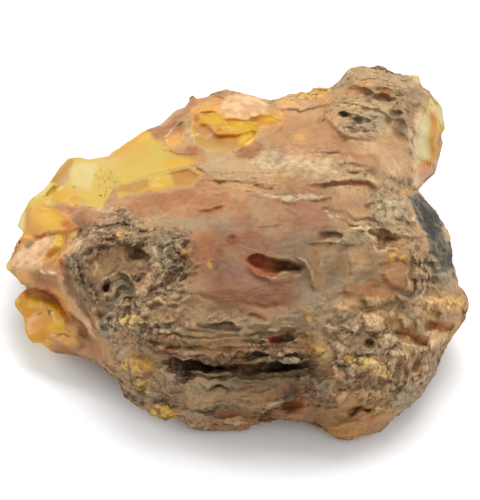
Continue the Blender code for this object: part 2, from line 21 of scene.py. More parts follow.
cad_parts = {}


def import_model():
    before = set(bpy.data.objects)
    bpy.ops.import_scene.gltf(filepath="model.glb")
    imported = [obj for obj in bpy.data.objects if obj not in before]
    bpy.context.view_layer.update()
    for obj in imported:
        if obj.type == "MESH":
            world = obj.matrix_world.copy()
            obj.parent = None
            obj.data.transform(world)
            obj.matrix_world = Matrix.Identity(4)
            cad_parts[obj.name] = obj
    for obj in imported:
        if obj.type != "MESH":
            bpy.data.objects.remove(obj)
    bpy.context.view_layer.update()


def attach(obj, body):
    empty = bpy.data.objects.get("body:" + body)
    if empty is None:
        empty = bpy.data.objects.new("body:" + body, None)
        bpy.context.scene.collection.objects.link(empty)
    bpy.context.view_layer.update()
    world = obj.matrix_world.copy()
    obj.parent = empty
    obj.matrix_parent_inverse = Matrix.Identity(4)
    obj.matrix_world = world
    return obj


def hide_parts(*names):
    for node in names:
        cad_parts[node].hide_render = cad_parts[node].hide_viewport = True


LOG = logging.getLogger("amber")
NODE = "raw_amber"
MM = 0.001
Z_AXIS = 2

Array = np.ndarray
Point = tuple[float, float]
Line = Sequence[float]  # x and y of each point in turn
Rows = Sequence[Sequence[Any]]

OUTLINE = [
    (5, 268, 17), (6, 262, 17), (14, 249, 18), (22, 232, 19), (16, 226, 19), (19, 215, 19),
    (28, 200, 20), (40, 191, 19), (48, 181, 20), (57, 169, 21), (65, 158, 22), (71, 156, 22),
    (79, 156, 23), (84, 159, 23), (107, 156, 25), (113, 150, 26), (133, 137, 28), (160, 122, 30),
    (174, 109, 31), (183, 104, 32), (192, 93, 33), (197, 97, 33), (218, 90, 35), (227, 88, 35),
    (252, 94, 36), (271, 100, 36), (285, 96, 36), (310, 91, 36), (314, 87, 36), (331, 87, 37),
    (340, 82, 37), (345, 75, 38), (350, 69, 38), (363, 65, 38), (384, 65, 36), (390, 69, 36),
    (407, 74, 35), (420, 74, 33), (424, 84, 32), (436, 95, 30), (445, 109, 27), (448, 127, 25),
    (444, 133, 24), (445, 141, 23), (440, 161, 20), (437, 171, 19), (426, 181, 19), (419, 190, 22),
    (424, 199, 25), (438, 212, 25), (448, 233, 23), (452, 253, 21), (453, 265, 20), (459, 287, 18),
    (467, 298, 16), (469, 306, 15), (464, 320, 15), (460, 327, 15), (451, 337, 14), (443, 351, 12),
    (436, 370, 9), (423, 392, 6), (409, 405, 5), (394, 417, 4), (380, 430, 2), (366, 434, 2),
    (349, 440, 2), (337, 438, 2), (320, 427, 4), (306, 421, 6), (277, 418, 7), (251, 424, 4),
    (246, 429, 2), (220, 430, 2), (195, 429, 2), (189, 427, 3), (183, 418, 5), (173, 416, 5),
    (166, 420, 4), (155, 415, 5), (143, 408, 6), (131, 401, 7), (124, 394, 8), (117, 379, 9),
    (104, 369, 9), (95, 361, 9), (80, 356, 9), (52, 353, 8), (46, 349, 8), (41, 343, 8),
    (33, 342, 8), (28, 338, 9), (24, 330, 9), (23, 318, 10), (16, 308, 12), (14, 303, 13),
    (19, 293, 14), (27, 287, 15), (20, 284, 15), (13, 276, 16),
]  # x and y on the sheet, and the height in millimetres where the skin turns under

BODY = [
    (30, 215, 21), (28, 245, 21), (30, 275, 19), (36, 315, 13), (52, 300, 15), (62, 340, 12),
    (60, 190, 24), (60, 220, 25), (60, 250, 25.5), (60, 280, 22), (76, 320, 16), (90, 350, 13),
    (90, 175, 27), (90, 205, 29), (90, 235, 31), (90, 265, 30), (92, 295, 26), (102, 330, 20),
    (115, 365, 14), (125, 150, 29), (125, 180, 31.5), (125, 210, 34.5), (125, 240, 36),
    (125, 270, 35), (125, 300, 32), (125, 330, 26.5), (130, 360, 19.5), (135, 390, 12),
    (165, 130, 32), (165, 160, 34), (165, 190, 37), (165, 220, 39), (165, 250, 39), (165, 290, 37),
    (165, 320, 33), (165, 345, 28), (165, 375, 20), (165, 400, 11), (205, 105, 35), (205, 135, 37),
    (205, 165, 39), (205, 200, 41.5), (205, 240, 42), (205, 280, 40.5), (205, 310, 37),
    (205, 340, 31), (205, 375, 22), (205, 400, 14.5), (205, 420, 6), (250, 105, 37.5),
    (250, 135, 39), (250, 165, 41), (250, 200, 43), (250, 240, 43), (250, 285, 40.5),
    (250, 315, 36.5), (250, 345, 30.5), (250, 380, 21.5), (250, 405, 13), (300, 105, 38),
    (300, 135, 40), (300, 165, 42), (300, 200, 43.5), (300, 240, 43), (300, 280, 40),
    (300, 315, 36), (300, 350, 29), (300, 380, 21), (300, 405, 12), (345, 85, 38.5),
    (345, 110, 40.5), (345, 140, 41.5), (345, 170, 42.5), (345, 205, 42.5), (345, 240, 41.5),
    (345, 280, 38.5), (345, 315, 34.5), (345, 350, 28.5), (345, 385, 20.5), (345, 415, 11.5),
    (375, 80, 41), (375, 97, 42.5), (375, 125, 41.5), (375, 160, 41), (385, 200, 40),
    (385, 240, 38), (385, 280, 35), (385, 320, 30), (385, 355, 24.5), (385, 390, 16),
    (405, 88, 39), (405, 110, 39), (405, 140, 37), (405, 170, 34), (415, 220, 34.5),
    (415, 250, 33.5), (420, 290, 29), (420, 325, 24), (415, 360, 18.5), (425, 105, 34),
    (430, 135, 29), (425, 160, 26), (435, 245, 27.5), (445, 285, 24), (452, 308, 20),
]  # x and y on the sheet, and the height of the upper skin in millimetres


class Zone(Enum):
    """Kinds of skin, each kept on the mesh as an attribute of that name."""

    WINDOW = "window"
    HONEY = "honey"
    ORANGE = "orange"
    ROSE = "rose"
    CRUST = "crust"
    GREY = "grey"
    GOLD = "gold"
    RUST = "rust"
    CREAM = "cream"
    PALE = "pale"
    SHADE = "shade"
    DARK = "dark"
    CHARCOAL = "charcoal"
    # Darkens the middle and the low front: partly a brown film, partly painted shade.
    GRIME = "grime"
    # HOLLOW and CREASE measure sunk places, which the material darkens as dirt and painted shade.
    HOLLOW = "hollow"
    CREASE = "crease"
    GRAIN = "grain"


@dataclass(frozen=True)
class Sheet:
    """The leaning sheet that the lump is drawn on.

    Attributes:
        unit: metres for one drawing unit.
        lean: how far the sheet leans back from upright, in radians.
        centre: the place on the sheet that stands for the world's origin, in drawing units.
        rest: the middle of the lump's footprint before it is centred, in metres.
        hub: the place that the outline is star-shaped about.
    """

    unit: float = 0.238e-3
    lean: float = math.radians(45)
    centre: Point = (237.0, 252.0)
    rest: Point = (0.0002, -0.0172)
    hub: Point = (250.0, 262.0)

    def stand_up(self, x: Array, y: Array, height: Array) -> Array:
        """Turn places and heights into points on a table at z = 0.

        Args:
            x: places to the right, in drawing units.
            y: places down the sheet, in drawing units.
            height: heights above the table, in millimetres.

        Returns:
            Points in metres, one row each.
        """
        rise = height * MM
        up_sheet = (self.centre[1] - y) * self.unit
        away = (up_sheet - rise * math.cos(self.lean)) / math.sin(self.lean)
        right = (x - self.centre[0]) * self.unit
        return np.column_stack((right - self.rest[0], away - self.rest[1], rise))


def smooth(t: Array) -> Array:
    """Ease from 0 to 1 as t goes from 0 to 1."""
    t = np.clip(t, 0.0, 1.0)
    return t * t * (3.0 - 2.0 * t)


def wander(x: Array, y: Array, size: Point, layer: float) -> Array:
    """Smooth random values over the sheet, about -1 to 1.

    Args:
        x: places to the right, in drawing units.
        y: places down the sheet, in drawing units.
        size: drawing units over which the values change, along x and along y.
        layer: a number that picks one field of values.

    Returns:
        One value for each place.
    """
    spots = zip((x / size[0]).tolist(), (y / size[1]).tolist())
    return np.array([noise.noise((across, down, layer)) for across, down in spots])


def flow(x: Array, y: Array) -> Array:
    """A value that is level along the layers, which bend down the sheet's edges like bowls."""
    bend = 0.0035 * (np.clip(x - 300, 0, None) ** 2 + np.clip(200 - x, 0, None) ** 2)
    return y + bend * np.clip((y - 250) / 120, -1, 1)


def inset(corners: Array, x: Array, y: Array) -> Array:
    """How far places lie inside a polygon, in drawing units, negative where they lie outside.

    Args:
        corners: the polygon's corners, one row each.
        x: places to the right.
        y: places down the sheet.

    Returns:
        One distance for each place.
    """
    nearest = np.full(x.shape, np.inf)
    inside = np.zeros(x.shape, bool)
    for (ax, ay), (bx, by) in zip(corners, np.roll(corners, -1, axis=0)):
        dx, dy = bx - ax, by - ay
        held = np.clip(((x - ax) * dx + (y - ay) * dy) / (dx * dx + dy * dy), 0.0, 1.0)
        nearest = np.minimum(nearest, np.hypot(x - ax - held * dx, y - ay - held * dy))
        crosses = (ay > y) != (by > y)
        run = dx * (y - ay) / np.where(dy == 0.0, 1.0, dy) + ax
        inside ^= crosses & (x < run)
    return np.where(inside, nearest, -nearest)


@dataclass
class Places:
    """Places on the sheet, with the measures that relief and colour zones share.

    A line's left hand is the side to the left of someone who walks along it, so a line drawn from
    left to right has the upper part of the sheet on its left hand.
    """

    x: Array
    y: Array

    def measure(self, line: Line) -> tuple[Array, Array]:
        """Measure places against a broken line.

        Args:
            line: the line's points, in drawing units.

        Returns:
            Distances, negative on the line's right hand, and how far along it, 0 to 1.
        """
        points = list(zip(line[::2], line[1::2]))
        nearest = np.full(self.x.shape, np.inf)
        hand = np.ones(self.x.shape)
        place = np.zeros(self.x.shape)
        whole = sum(math.dist(a, b) for a, b in zip(points, points[1:]))
        walked = 0.0
        for (ax, ay), (bx, by) in zip(points, points[1:]):
            dx, dy = bx - ax, by - ay
            length = math.hypot(dx, dy)
            along = ((self.x - ax) * dx + (self.y - ay) * dy) / length**2
            held = np.clip(along, 0.0, 1.0)
            gap = np.hypot(self.x - ax - held * dx, self.y - ay - held * dy)
            closer = gap < nearest
            nearest = np.where(closer, gap, nearest)
            hand = np.where(closer, np.sign(dy * (self.x - ax) - dx * (self.y - ay)), hand)
            place = np.where(closer, (walked + along * length) / whole, place)
            walked += length
        return nearest * hand, place

    def reach(self, x: float, y: float, wide: float, tall: float, turn: float) -> Array:
        """Measure places against an oval, 0 at its middle and 1 at its edge.

        Args:
            x: the oval's middle, to the right.
            y: the oval's middle, down the sheet.
            wide: half its width.
            tall: half its height.
            turn: how far it is turned clockwise, in degrees.

        Returns:
            One measure for each place.
        """
        angle = math.radians(turn)
        dx, dy = self.x - x, self.y - y
        u = (dx * math.cos(angle) + dy * math.sin(angle)) / wide
        v = (dy * math.cos(angle) - dx * math.sin(angle)) / tall
        return np.hypot(u, v)


@dataclass
class Skin(Places):
    """Heights over places on the sheet, in millimetres, that forms are worked into."""

    z: Array = field(default_factory=lambda: np.zeros(0))

    def stroke(self, line: Line, width: float, height: float, fade: float = 0.15) -> None:
        """Raise a ridge, or sink a groove with a negative height, along a line.

        Args:
            line: its points, in drawing units.
            width: half its width, in drawing units.
            height: its height in millimetres.
            fade: share of its length over which each end runs out.
        """
        gap, place = self.measure(line)
        bell = np.clip(1.0 - (gap / width) ** 2, 0.0, None) ** 2
        self.z = self.z + height * bell * smooth((0.5 - np.abs(place - 0.5)) / fade)

    def ledge(self, line: Line, lift: float, back: float, cut: float, front: float,
              fade: float = 0.12, edge: float = 1.4) -> None:
        """Break the skin along a line, lifted on its left hand and cut away on its right hand.

        Args:
            line: the edge, in drawing units.
            lift: height of the raised side, in millimetres.
            back: drawing units over which the lift dies away.
            cut: depth of the other side, in millimetres.
            front: drawing units over which the cut dies away.
            fade: share of the line's length over which each end runs out.
            edge: half the width of the break itself.
        """
        gap, place = self.measure(line)
        ends = smooth((0.5 - np.abs(place - 0.5)) / fade)
        high = lift * np.exp(-np.abs(gap) / back)
        low = -cut * np.exp(-np.abs(gap) / front)
        self.z = self.z + (low + (high - low) * smooth(gap / (2.0 * edge) + 0.5)) * ends

    def pit(self, x: float, y: float, wide: float, tall: float, depth: float,
            turn: float = 0.0, wall: float = 0.6) -> None:
        """Sink an oval pit, or raise a lump with a negative depth.

        Args:
            x: its middle, to the right.
            y: its middle, down the sheet.
            wide: half its width.
            tall: half its height.
            depth: its depth in millimetres.
            turn: how far it is turned clockwise, in degrees.
            wall: share of its half width that the wall takes.
        """
        self.z = self.z - depth * smooth((1.0 - self.reach(x, y, wide, tall, turn)) / wall)

    def work(self, strokes: Rows = (), ledges: Rows = (), pits: Rows = ()) -> None:
        """Work in strokes, ledges and pits, one for each row of values.

        Args:
            strokes: rows of what a stroke takes.
            ledges: rows of what a ledge takes.
            pits: rows of what a pit takes.
        """
        for form, rows in ((self.stroke, strokes), (self.ledge, ledges), (self.pit, pits)):
            for row in rows:
                form(*row)

    def facet(self, corners: Sequence[tuple[float, float, float]], soft: float = 2.0) -> None:
        """Break a flat face through corners.

        Args:
            corners: x, y and height of each.
            soft: drawing units over which the face meets the skin around it.
        """
        points = np.array(corners, float)
        fit = np.column_stack((points[:, :2], np.ones(len(points))))
        slope_x, slope_y, level = np.linalg.lstsq(fit, points[:, Z_AXIS], rcond=None)[0]
        plane = slope_x * self.x + slope_y * self.y + level
        share = smooth(inset(points[:, :2], self.x, self.y) / soft + 0.5)
        self.z = self.z + (plane - self.z) * share

    def terraces(self, level: Array, spacing: float, lift: float, where: Array | float,
                 layer: float, waver: float = 0.9,
                 sizes: tuple[Point, Point] = ((75.0, 34.0), (74.0, 46.0))) -> None:
        """Work in low steps across a level that grows down the sheet.

        Args:
            level: the value that the steps follow, in drawing units.
            spacing: drawing units from one step to the next.
            lift: height of a step, in millimetres.
            where: share of the lift at each place.
            layer: a number that picks the steps' wavering.
            waver: how far an edge wavers, as a share of the spacing.
            sizes: drawing units over which edges waver, and over which steps come and go.
        """
        break_off = 0.18
        place = level / spacing + waver * wander(self.x, self.y, sizes[0], layer)
        step = place - np.floor(place)
        shape = smooth(step / (1 - break_off)) * smooth((1 - step) / break_off)
        strength = np.clip(0.35 + 1.3 * wander(self.x, self.y, sizes[1], layer + 7), 0, 1)
        self.z = self.z + lift * (shape - 0.5) * strength * where


def windows(skin: Skin) -> None:
    """Flat glassy breaks on the upper left shoulder.

    Args:
        skin: the heights that it is worked into.
    """
    skin.facet([(48, 181, 19.5), (65, 158, 21), (72, 156, 22), (70, 166, 23), (68, 181, 24),
                (60, 186, 23)])
    skin.facet([(50, 186, 20.5), (62, 183, 23.2), (72, 190, 25.4), (84, 198, 28), (92, 208, 30),
                (74, 207, 27), (52, 204, 22.5), (42, 196, 19)])
    skin.facet([(72, 156, 22.5), (111, 153, 26.5), (116, 178, 30.3), (101, 206, 31),
                (90, 206, 29.5), (72, 190, 26), (68, 181, 24.5), (70, 166, 23.5)])
    skin.facet([(113, 154, 26.5), (134, 140, 29), (152, 143, 31.5), (176, 157, 35), (204, 160, 38),
                (188, 168, 37.2), (150, 176, 34.3), (118, 184, 31.5)], soft=6)
    skin.facet([(118, 187, 31.4), (150, 178, 33.8), (188, 169, 36.8), (199, 176, 38.2),
                (190, 184, 38), (160, 190, 36), (134, 193, 33.2), (116, 196, 31.6)])
    skin.facet([(148, 188, 34.2), (156, 177, 35.4), (169, 187, 36.4), (163, 191, 35.6)])
    skin.facet([(18, 212, 19.5), (36, 203, 22), (60, 219, 25.6), (82, 227, 28.5), (54, 235, 24),
                (20, 230, 19.5)])
    skin.work(ledges=[
        ((86, 213, 72, 205, 58, 205, 43, 209, 30, 204), 0.9, 7, 0.7, 6),
        ((22, 231, 40, 235, 56, 232, 72, 230, 88, 228), 0.4, 8, 1.4, 8),
        ((206, 175, 192, 185, 176, 188, 155, 191, 130, 194, 113, 200, 96, 211), 0.8, 14, 0.6, 10),
    ])


def crown(skin: Skin) -> None:
    """The back of the top: conchoidal breaks and a round shoulder along the crest.

    Args:
        skin: the heights that it is worked into.
    """
    skin.work(ledges=[
        ((196, 113, 206, 112, 215, 113, 223, 116, 230, 120, 246, 121, 253, 116, 264, 114, 282, 119),
         0.6, 8, 0.3, 8, 0.12, 1.0),
        ((196, 121, 206, 123, 213, 127, 220, 134, 236, 135, 250, 132, 262, 130), 0.5, 8, 0.9, 8,
         0.12, 1.0), ((152, 145, 162, 149, 175, 153, 188, 155, 202, 153), 0.3, 9, 0.6, 5, 0.3),
    ], pits=[
        (175, 131, 8, 15, 1.3, 30, 0.7), (212, 139, 24, 17, 1.7, 4, 0.95),
        (248, 105, 26, 14, -1.4, 5),
    ], strokes=[
        ((183, 117, 173, 127, 166, 139, 168, 148), 3, 0.6),
        ((187, 118, 181, 130, 180, 142), 3, 0.4),
        ((150, 134, 166, 124, 182, 110, 193, 100), 7, 0.7),
        ((254, 128, 246, 136, 238, 146, 230, 152), 6, 0.8),
    ])
    skin.facet([(276, 98, 37), (324, 94, 38), (326, 104, 39), (300, 112, 39.5), (278, 108, 38.5)])
    skin.work(ledges=[
        ((246, 158, 262, 150, 290, 146, 322, 149, 342, 158), 0.45, 16, 0.15, 8, 0.4),
    ], pits=[
        (358, 163, 34, 14, -1.7, 8),
    ], strokes=[
        ((320, 114, 334, 130, 347, 146), 7, -1.4), ((246, 171, 300, 168, 342, 176), 6, 0.7),
    ])


def horn(skin: Skin) -> None:
    """The crusty knob at the upper right, and the smooth band down its right side.

    Args:
        skin: the heights that it is worked into.
    """
    skin.work(ledges=[
        ((420, 176, 416, 156, 411, 134, 408, 118, 404, 106), 1.0, 10, 1.2, 12),
    ], pits=[
        (366, 79, 19, 12, -1.6, -8), (394, 85, 19, 12, -1.4, 15), (384, 98, 15, 6, 2.0, 12),
        (347, 114, 8, 5, 1.2, 30), (396, 114, 8, 6, 1.7), (430, 104, 10, 12, -1.0, 25),
    ], strokes=[
        ((388, 116, 400, 126, 411, 146), 8, -1.5), ((424, 190, 404, 187, 386, 184), 14, -1.4),
    ])


def seams(skin: Skin) -> None:
    """Long open seams that cross the top from side to side.

    Args:
        skin: the heights that it is worked into.
    """
    skin.work(ledges=[
        ((292, 189, 330, 184, 352, 181, 372, 186, 396, 190), 0.5, 12, 0.7, 10, 0.3),
        ((248, 186, 264, 187, 280, 187), 0.3, 8, 0.5, 6, 0.4),
        ((192, 208, 212, 211, 234, 207), 0.3, 9, 0.6, 8, 0.4),
    ], pits=[
        (230, 242, 10, 8, 0.6, 0, 0.9), (306, 262, 24, 28, -0.9, -10, 0.9),
        (225, 292, 46, 20, -0.8, 4, 0.9),
    ], strokes=[
        ((244, 195, 285, 196, 312, 195, 344, 200), 7, 0.9),
        ((281, 222, 290, 250, 301, 276, 315, 302), 18, -0.6),
    ])


def eye(skin: Skin) -> None:
    """The long almond-shaped cavity in the middle, deep under its upper edge.

    Args:
        skin: the heights that it is worked into.
    """
    skin.work(ledges=[
        ((246, 260, 253, 255, 266, 256, 277, 260, 288, 261, 306, 271), 0.5, 7, 1.5, 6, 0.12, 1.0),
    ], pits=[
        (268, 264, 24, 9.5, 2.8, 14, 0.5), (288, 267, 18, 6.5, 1.8, 16, 0.7),
    ], strokes=[
        ((244, 262, 256, 274, 276, 279, 296, 281), 5, 0.4),
    ])


def flank(skin: Skin) -> None:
    """The right side: a cavity under a pale lip, knobs, slots and the blunt tip.

    Args:
        skin: the heights that it is worked into.
    """
    skin.facet([(407, 193, 34), (424, 199, 30.5), (438, 212, 28), (449, 240, 24.5),
                (450, 256, 24), (440, 254, 27.5), (428, 236, 31.5), (416, 214, 34)], soft=4)
    skin.work(ledges=[
        ((408, 250, 380, 247, 370, 236, 360, 227, 338, 231), 0.7, 8, 0.8, 8),
    ], pits=[
        (384, 238, 19, 11, 2.2, 12, 0.9), (393, 276, 15, 15, -1.4, -20),
        (441, 268, 14, 18, -1.3, -15), (372, 321, 13, 11, -1.4), (346, 305, 16, 12, -0.8),
        (447, 305, 22, 14, -1.7, 12), (369, 343, 8, 6, 1.2), (372, 368, 24, 12, -1.1, 18),
        (326, 384, 10, 9, -1.2), (350, 428, 26, 11, -1.5, -4),
    ], strokes=[
        ((317, 234, 329, 237, 343, 238), 5, -1.2), ((409, 250, 408, 275, 412, 304), 5, -1.2),
        ((422, 326, 440, 328, 458, 329), 8, -2.4), ((392, 328, 410, 335, 430, 344), 9, -2.2),
        ((402, 346, 408, 366, 403, 390), 7, 1.1), ((418, 344, 424, 360, 420, 380), 6, 1.0),
        ((344, 412, 360, 407, 376, 412), 6, -1.3),
    ])


def rib_and_lobes(skin: Skin) -> None:
    """The left end: slanting flutes, a long smooth rib, and the lobe that hangs under it.

    Args:
        skin: the heights that it is worked into.
    """
    skin.work(ledges=[
        ((18, 288, 40, 290, 57, 299, 71, 312, 86, 330, 98, 350), 0.9, 10, 3.2, 15),
    ], strokes=[
        ((46, 264, 58, 248, 70, 233), 7, -1.6), ((64, 254, 76, 241, 88, 231), 6, -1.3),
        ((22, 262, 36, 250, 50, 238), 9, 1.0),
        ((10, 268, 36, 271, 60, 276, 76, 288, 88, 306), 12, 1.3),
    ])
    skin.facet([(16, 302, 13), (40, 297, 14.5), (66, 318, 14), (60, 334, 12), (30, 336, 10),
                (22, 316, 11)], soft=5)
    skin.pit(66, 340, 16, 9, -0.9, 12)


def crust(skin: Skin) -> None:
    """The rough patch right of the lobes: a recess, a deep crack and lumps.

    Args:
        skin: the heights that it is worked into.
    """
    skin.work(ledges=[
        ((108, 243, 126, 245, 144, 249, 151, 258, 146, 268), 0.6, 7, 1.6, 12, 0.12, 1.0),
    ], pits=[
        (136, 257, 15, 9, 2.2, 12, 0.8), (107, 287, 6, 5, 2.0, -30), (86, 252, 17, 11, -1.2, 20),
        (104, 225, 22, 10, -1.0, 14), (122, 298, 16, 10, -1.3, 40), (104, 318, 10, 16, 1.2, -35),
        (134, 322, 18, 9, -1.0, 10),
    ], strokes=[
        ((189, 254, 175, 268, 162, 292), 9, -1.3), ((157, 258, 150, 280, 140, 300), 9, 1.6),
        ((56, 254, 66, 272, 73, 291, 86, 311, 99, 338), 5, -0.9),
    ])


def front(skin: Skin) -> None:
    """The steep front: stepped bands above a long dark crevice, and the ledge below it.

    Args:
        skin: the heights that it is worked into.
    """
    skin.work(ledges=[
        ((196, 322, 220, 322, 242, 327), 0.5, 10, 1.0, 8),
        ((150, 331, 200, 335, 246, 331, 306, 328), 0.9, 12, 0.8, 8),
        ((150, 349, 176, 352, 200, 355, 219, 358, 226, 363, 233, 358, 240, 351, 264, 353, 273, 358,
         279, 355, 286, 351, 330, 349), 1.4, 10, 1.2, 8, 0.06, 1.0),
        ((340, 372, 300, 373, 260, 378, 210, 378, 160, 370), 1.4, 16, 0.6, 8, 0.08),
        ((196, 402, 232, 406, 263, 414, 271, 407, 298, 392), 0.8, 10, 2.2, 9),
    ], pits=[
        (279, 339, 14, 7, 2.4, -6), (256, 392, 50, 17, -1.2, -4, 0.8), (291, 403, 14, 10, 3.2, -20),
        (139, 366, 14, 11, -1.4, -12), (143, 387, 12, 10, 1.2), (164, 409, 12, 9, -1.2, 15),
        (318, 352, 9, 8, -1.2),
    ], strokes=[
        ((156, 357, 184, 361, 210, 366, 238, 369, 262, 367, 294, 364, 324, 357), 6.4, -3.8, 0.25),
        ((184, 361, 212, 366, 246, 367), 5, -2.6, 0.4),
        ((262, 367, 284, 366, 302, 362), 5, -2.2, 0.4), ((242, 362, 270, 359, 304, 356), 4.5, 2.6),
        ((200, 361, 214, 364, 232, 366), 4.0, 2.2), ((182, 418, 215, 420, 250, 418), 11, 1.6),
    ])


def hidden_side(skin: Skin) -> None:
    """Broad breaks and shelves on the back and under the overhang; a rise is a dent inward.

    Args:
        skin: the heights that it is worked into.
    """
    skin.work(ledges=[
        ((410, 118, 330, 136, 262, 144, 190, 150, 120, 176), 1.6, 16, 1.4, 12),
    ], pits=[
        (166, 168, 40, 26, -2.2, -25, 0.9), (256, 126, 44, 24, 2.0, 5, 0.9),
        (352, 128, 34, 24, -1.8, -10, 0.9), (306, 160, 30, 14, 1.6, 6),
        (432, 250, 18, 26, -1.6, -10, 0.8), (60, 230, 22, 26, -1.8, 30, 0.8),
    ], strokes=[
        ((206, 108, 222, 136, 214, 170), 16, 1.5), ((12, 262, 44, 250, 80, 240), 10, 1.6),
    ])


SMOOTH_SKIN = [
    (10, 210, 70, 150, 200, 88, 262, 90, 284, 150, 206, 176, 110, 204, 80, 232, 20, 236),
    (118, 196, 206, 178, 240, 200, 226, 226, 150, 226),
    (278, 114, 320, 108, 350, 140, 404, 134, 408, 168, 380, 176, 340, 150, 282, 146),
    (2, 262, 28, 236, 86, 228, 66, 262, 84, 310, 110, 360, 20, 345, 4, 280),
    (404, 190, 452, 206, 454, 262, 436, 256, 414, 220),
    (196, 230, 250, 222, 300, 230, 318, 258, 314, 302, 262, 314, 200, 306),
    (296, 244, 372, 250, 406, 256, 406, 292, 376, 296, 340, 300, 296, 296),
    (226, 180, 296, 200, 356, 194, 376, 206, 352, 232, 300, 240, 220, 236),
    (394, 322, 424, 316, 460, 320, 454, 334, 430, 350, 400, 342),
    (194, 320, 250, 322, 250, 350, 200, 352), (256, 150, 300, 150, 336, 160, 340, 178, 260, 180),
    (88, 254, 120, 246, 150, 250, 150, 266, 106, 286, 90, 284),
    (144, 294, 204, 290, 204, 322, 146, 324),
    (206, 371, 296, 369, 290, 388, 262, 402, 186, 404, 182, 388),
]  # stretches that broke or grew smooth, as corners on the sheet

MAIN_FORMS: tuple[Callable[[Skin], None], ...] = (
    crown, horn, seams, eye, flank, rib_and_lobes, crust, front,
)


def fine_windows(skin: Skin) -> None:
    """Glassy steps, and the glints near the left rim.

    Args:
        skin: the heights that it is worked into.
    """
    skin.work(ledges=[
        ((60, 207, 66, 198, 78, 196, 90, 204), 0.2, 5, 0.2, 5),
        ((197, 166, 201, 169, 206, 173), 0.4, 5, 0.8, 4, 0.12, 1.0),
    ], strokes=[
        ((46, 184, 48, 194, 47, 203), 3, 0.2),
    ])
    for x, y in ((128, 186), (134, 189), (140, 184), (122, 192)):
        skin.pit(x, y, 4, 3, -0.3, turn=x * 3.0, wall=0.9)


def fine_crown(skin: Skin) -> None:
    """Broken golden steps under the round shoulder, and thin creases across the tan slope.

    Args:
        skin: the heights that it is worked into.
    """
    skin.work(ledges=[
        ((198, 117, 208, 115, 218, 119, 230, 125, 246, 125, 260, 118), 0.2, 4, 0.5, 4, 0.12, 1.0),
        ((206, 121, 220, 127, 232, 130, 246, 129), 0.2, 4, 0.4, 4, 0.12, 1.0),
    ], strokes=[
        ((228, 121, 234, 128, 244, 134), 3, -0.3), ((286, 137, 298, 134, 310, 141), 5, -0.5),
        ((248, 153, 268, 157, 300, 152, 330, 158), 4, -0.25, 0.4),
        ((252, 164, 280, 163, 310, 162, 338, 168), 4, -0.22, 0.4),
        ((262, 98, 276, 106, 300, 104), 4, -0.2),
        ((313, 150, 330, 146, 350, 152, 372, 154, 390, 164), 5, 0.5),
    ])
    for x, y in ((190, 116), (186, 124), (194, 122), (189, 132), (192, 138), (200, 117)):
        skin.pit(x, y, 4, 3, -0.4, turn=x * 3.0, wall=0.9)


def fine_horn(skin: Skin) -> None:
    """Lumps, holes and short cracks of the knob's crust.

    Args:
        skin: the heights that it is worked into.
    """
    skin.work(ledges=[
        ((360, 75, 384, 80, 402, 90, 414, 104), 0.4, 6, 0.5, 5, 0.3),
        ((350, 86, 372, 90, 398, 99, 408, 112), 0.4, 6, 0.5, 5, 0.3),
        ((344, 98, 366, 104, 388, 118, 402, 134), 0.4, 6, 0.5, 5, 0.3),
        ((338, 106, 356, 112, 374, 126, 390, 142), 0.4, 6, 0.5, 5, 0.3),
    ], strokes=[
        ((427, 118, 430, 140, 427, 160), 6, -0.5), ((436, 112, 439, 132, 434, 150), 5, 0.5),
    ])
    for x, y, wide, tall, depth in (
        (356, 74, 7, 5, -0.8), (372, 70, 8, 5, -0.7), (389, 73, 6, 5, -0.6), (402, 80, 7, 5, -0.8),
        (414, 84, 6, 6, -0.7), (351, 88, 9, 5, 0.9), (368, 90, 7, 4, 0.8), (403, 96, 7, 5, 0.9),
        (416, 100, 5, 5, -0.8), (382, 110, 8, 4, -0.5), (364, 104, 8, 5, -0.7),
        (404, 132, 6, 8, 0.8), (345, 112, 5, 4, 0.9), (357, 119, 6, 4, 0.9), (393, 128, 6, 5, -0.7),
        (418, 112, 5, 6, 0.8), (431, 108, 5, 6, -0.5), (398, 106, 5, 4, 1.0), (388, 122, 5, 4, 0.8),
    ):
        skin.pit(x, y, wide, tall, 0.8 * depth, turn=x * 3.0, wall=0.85)


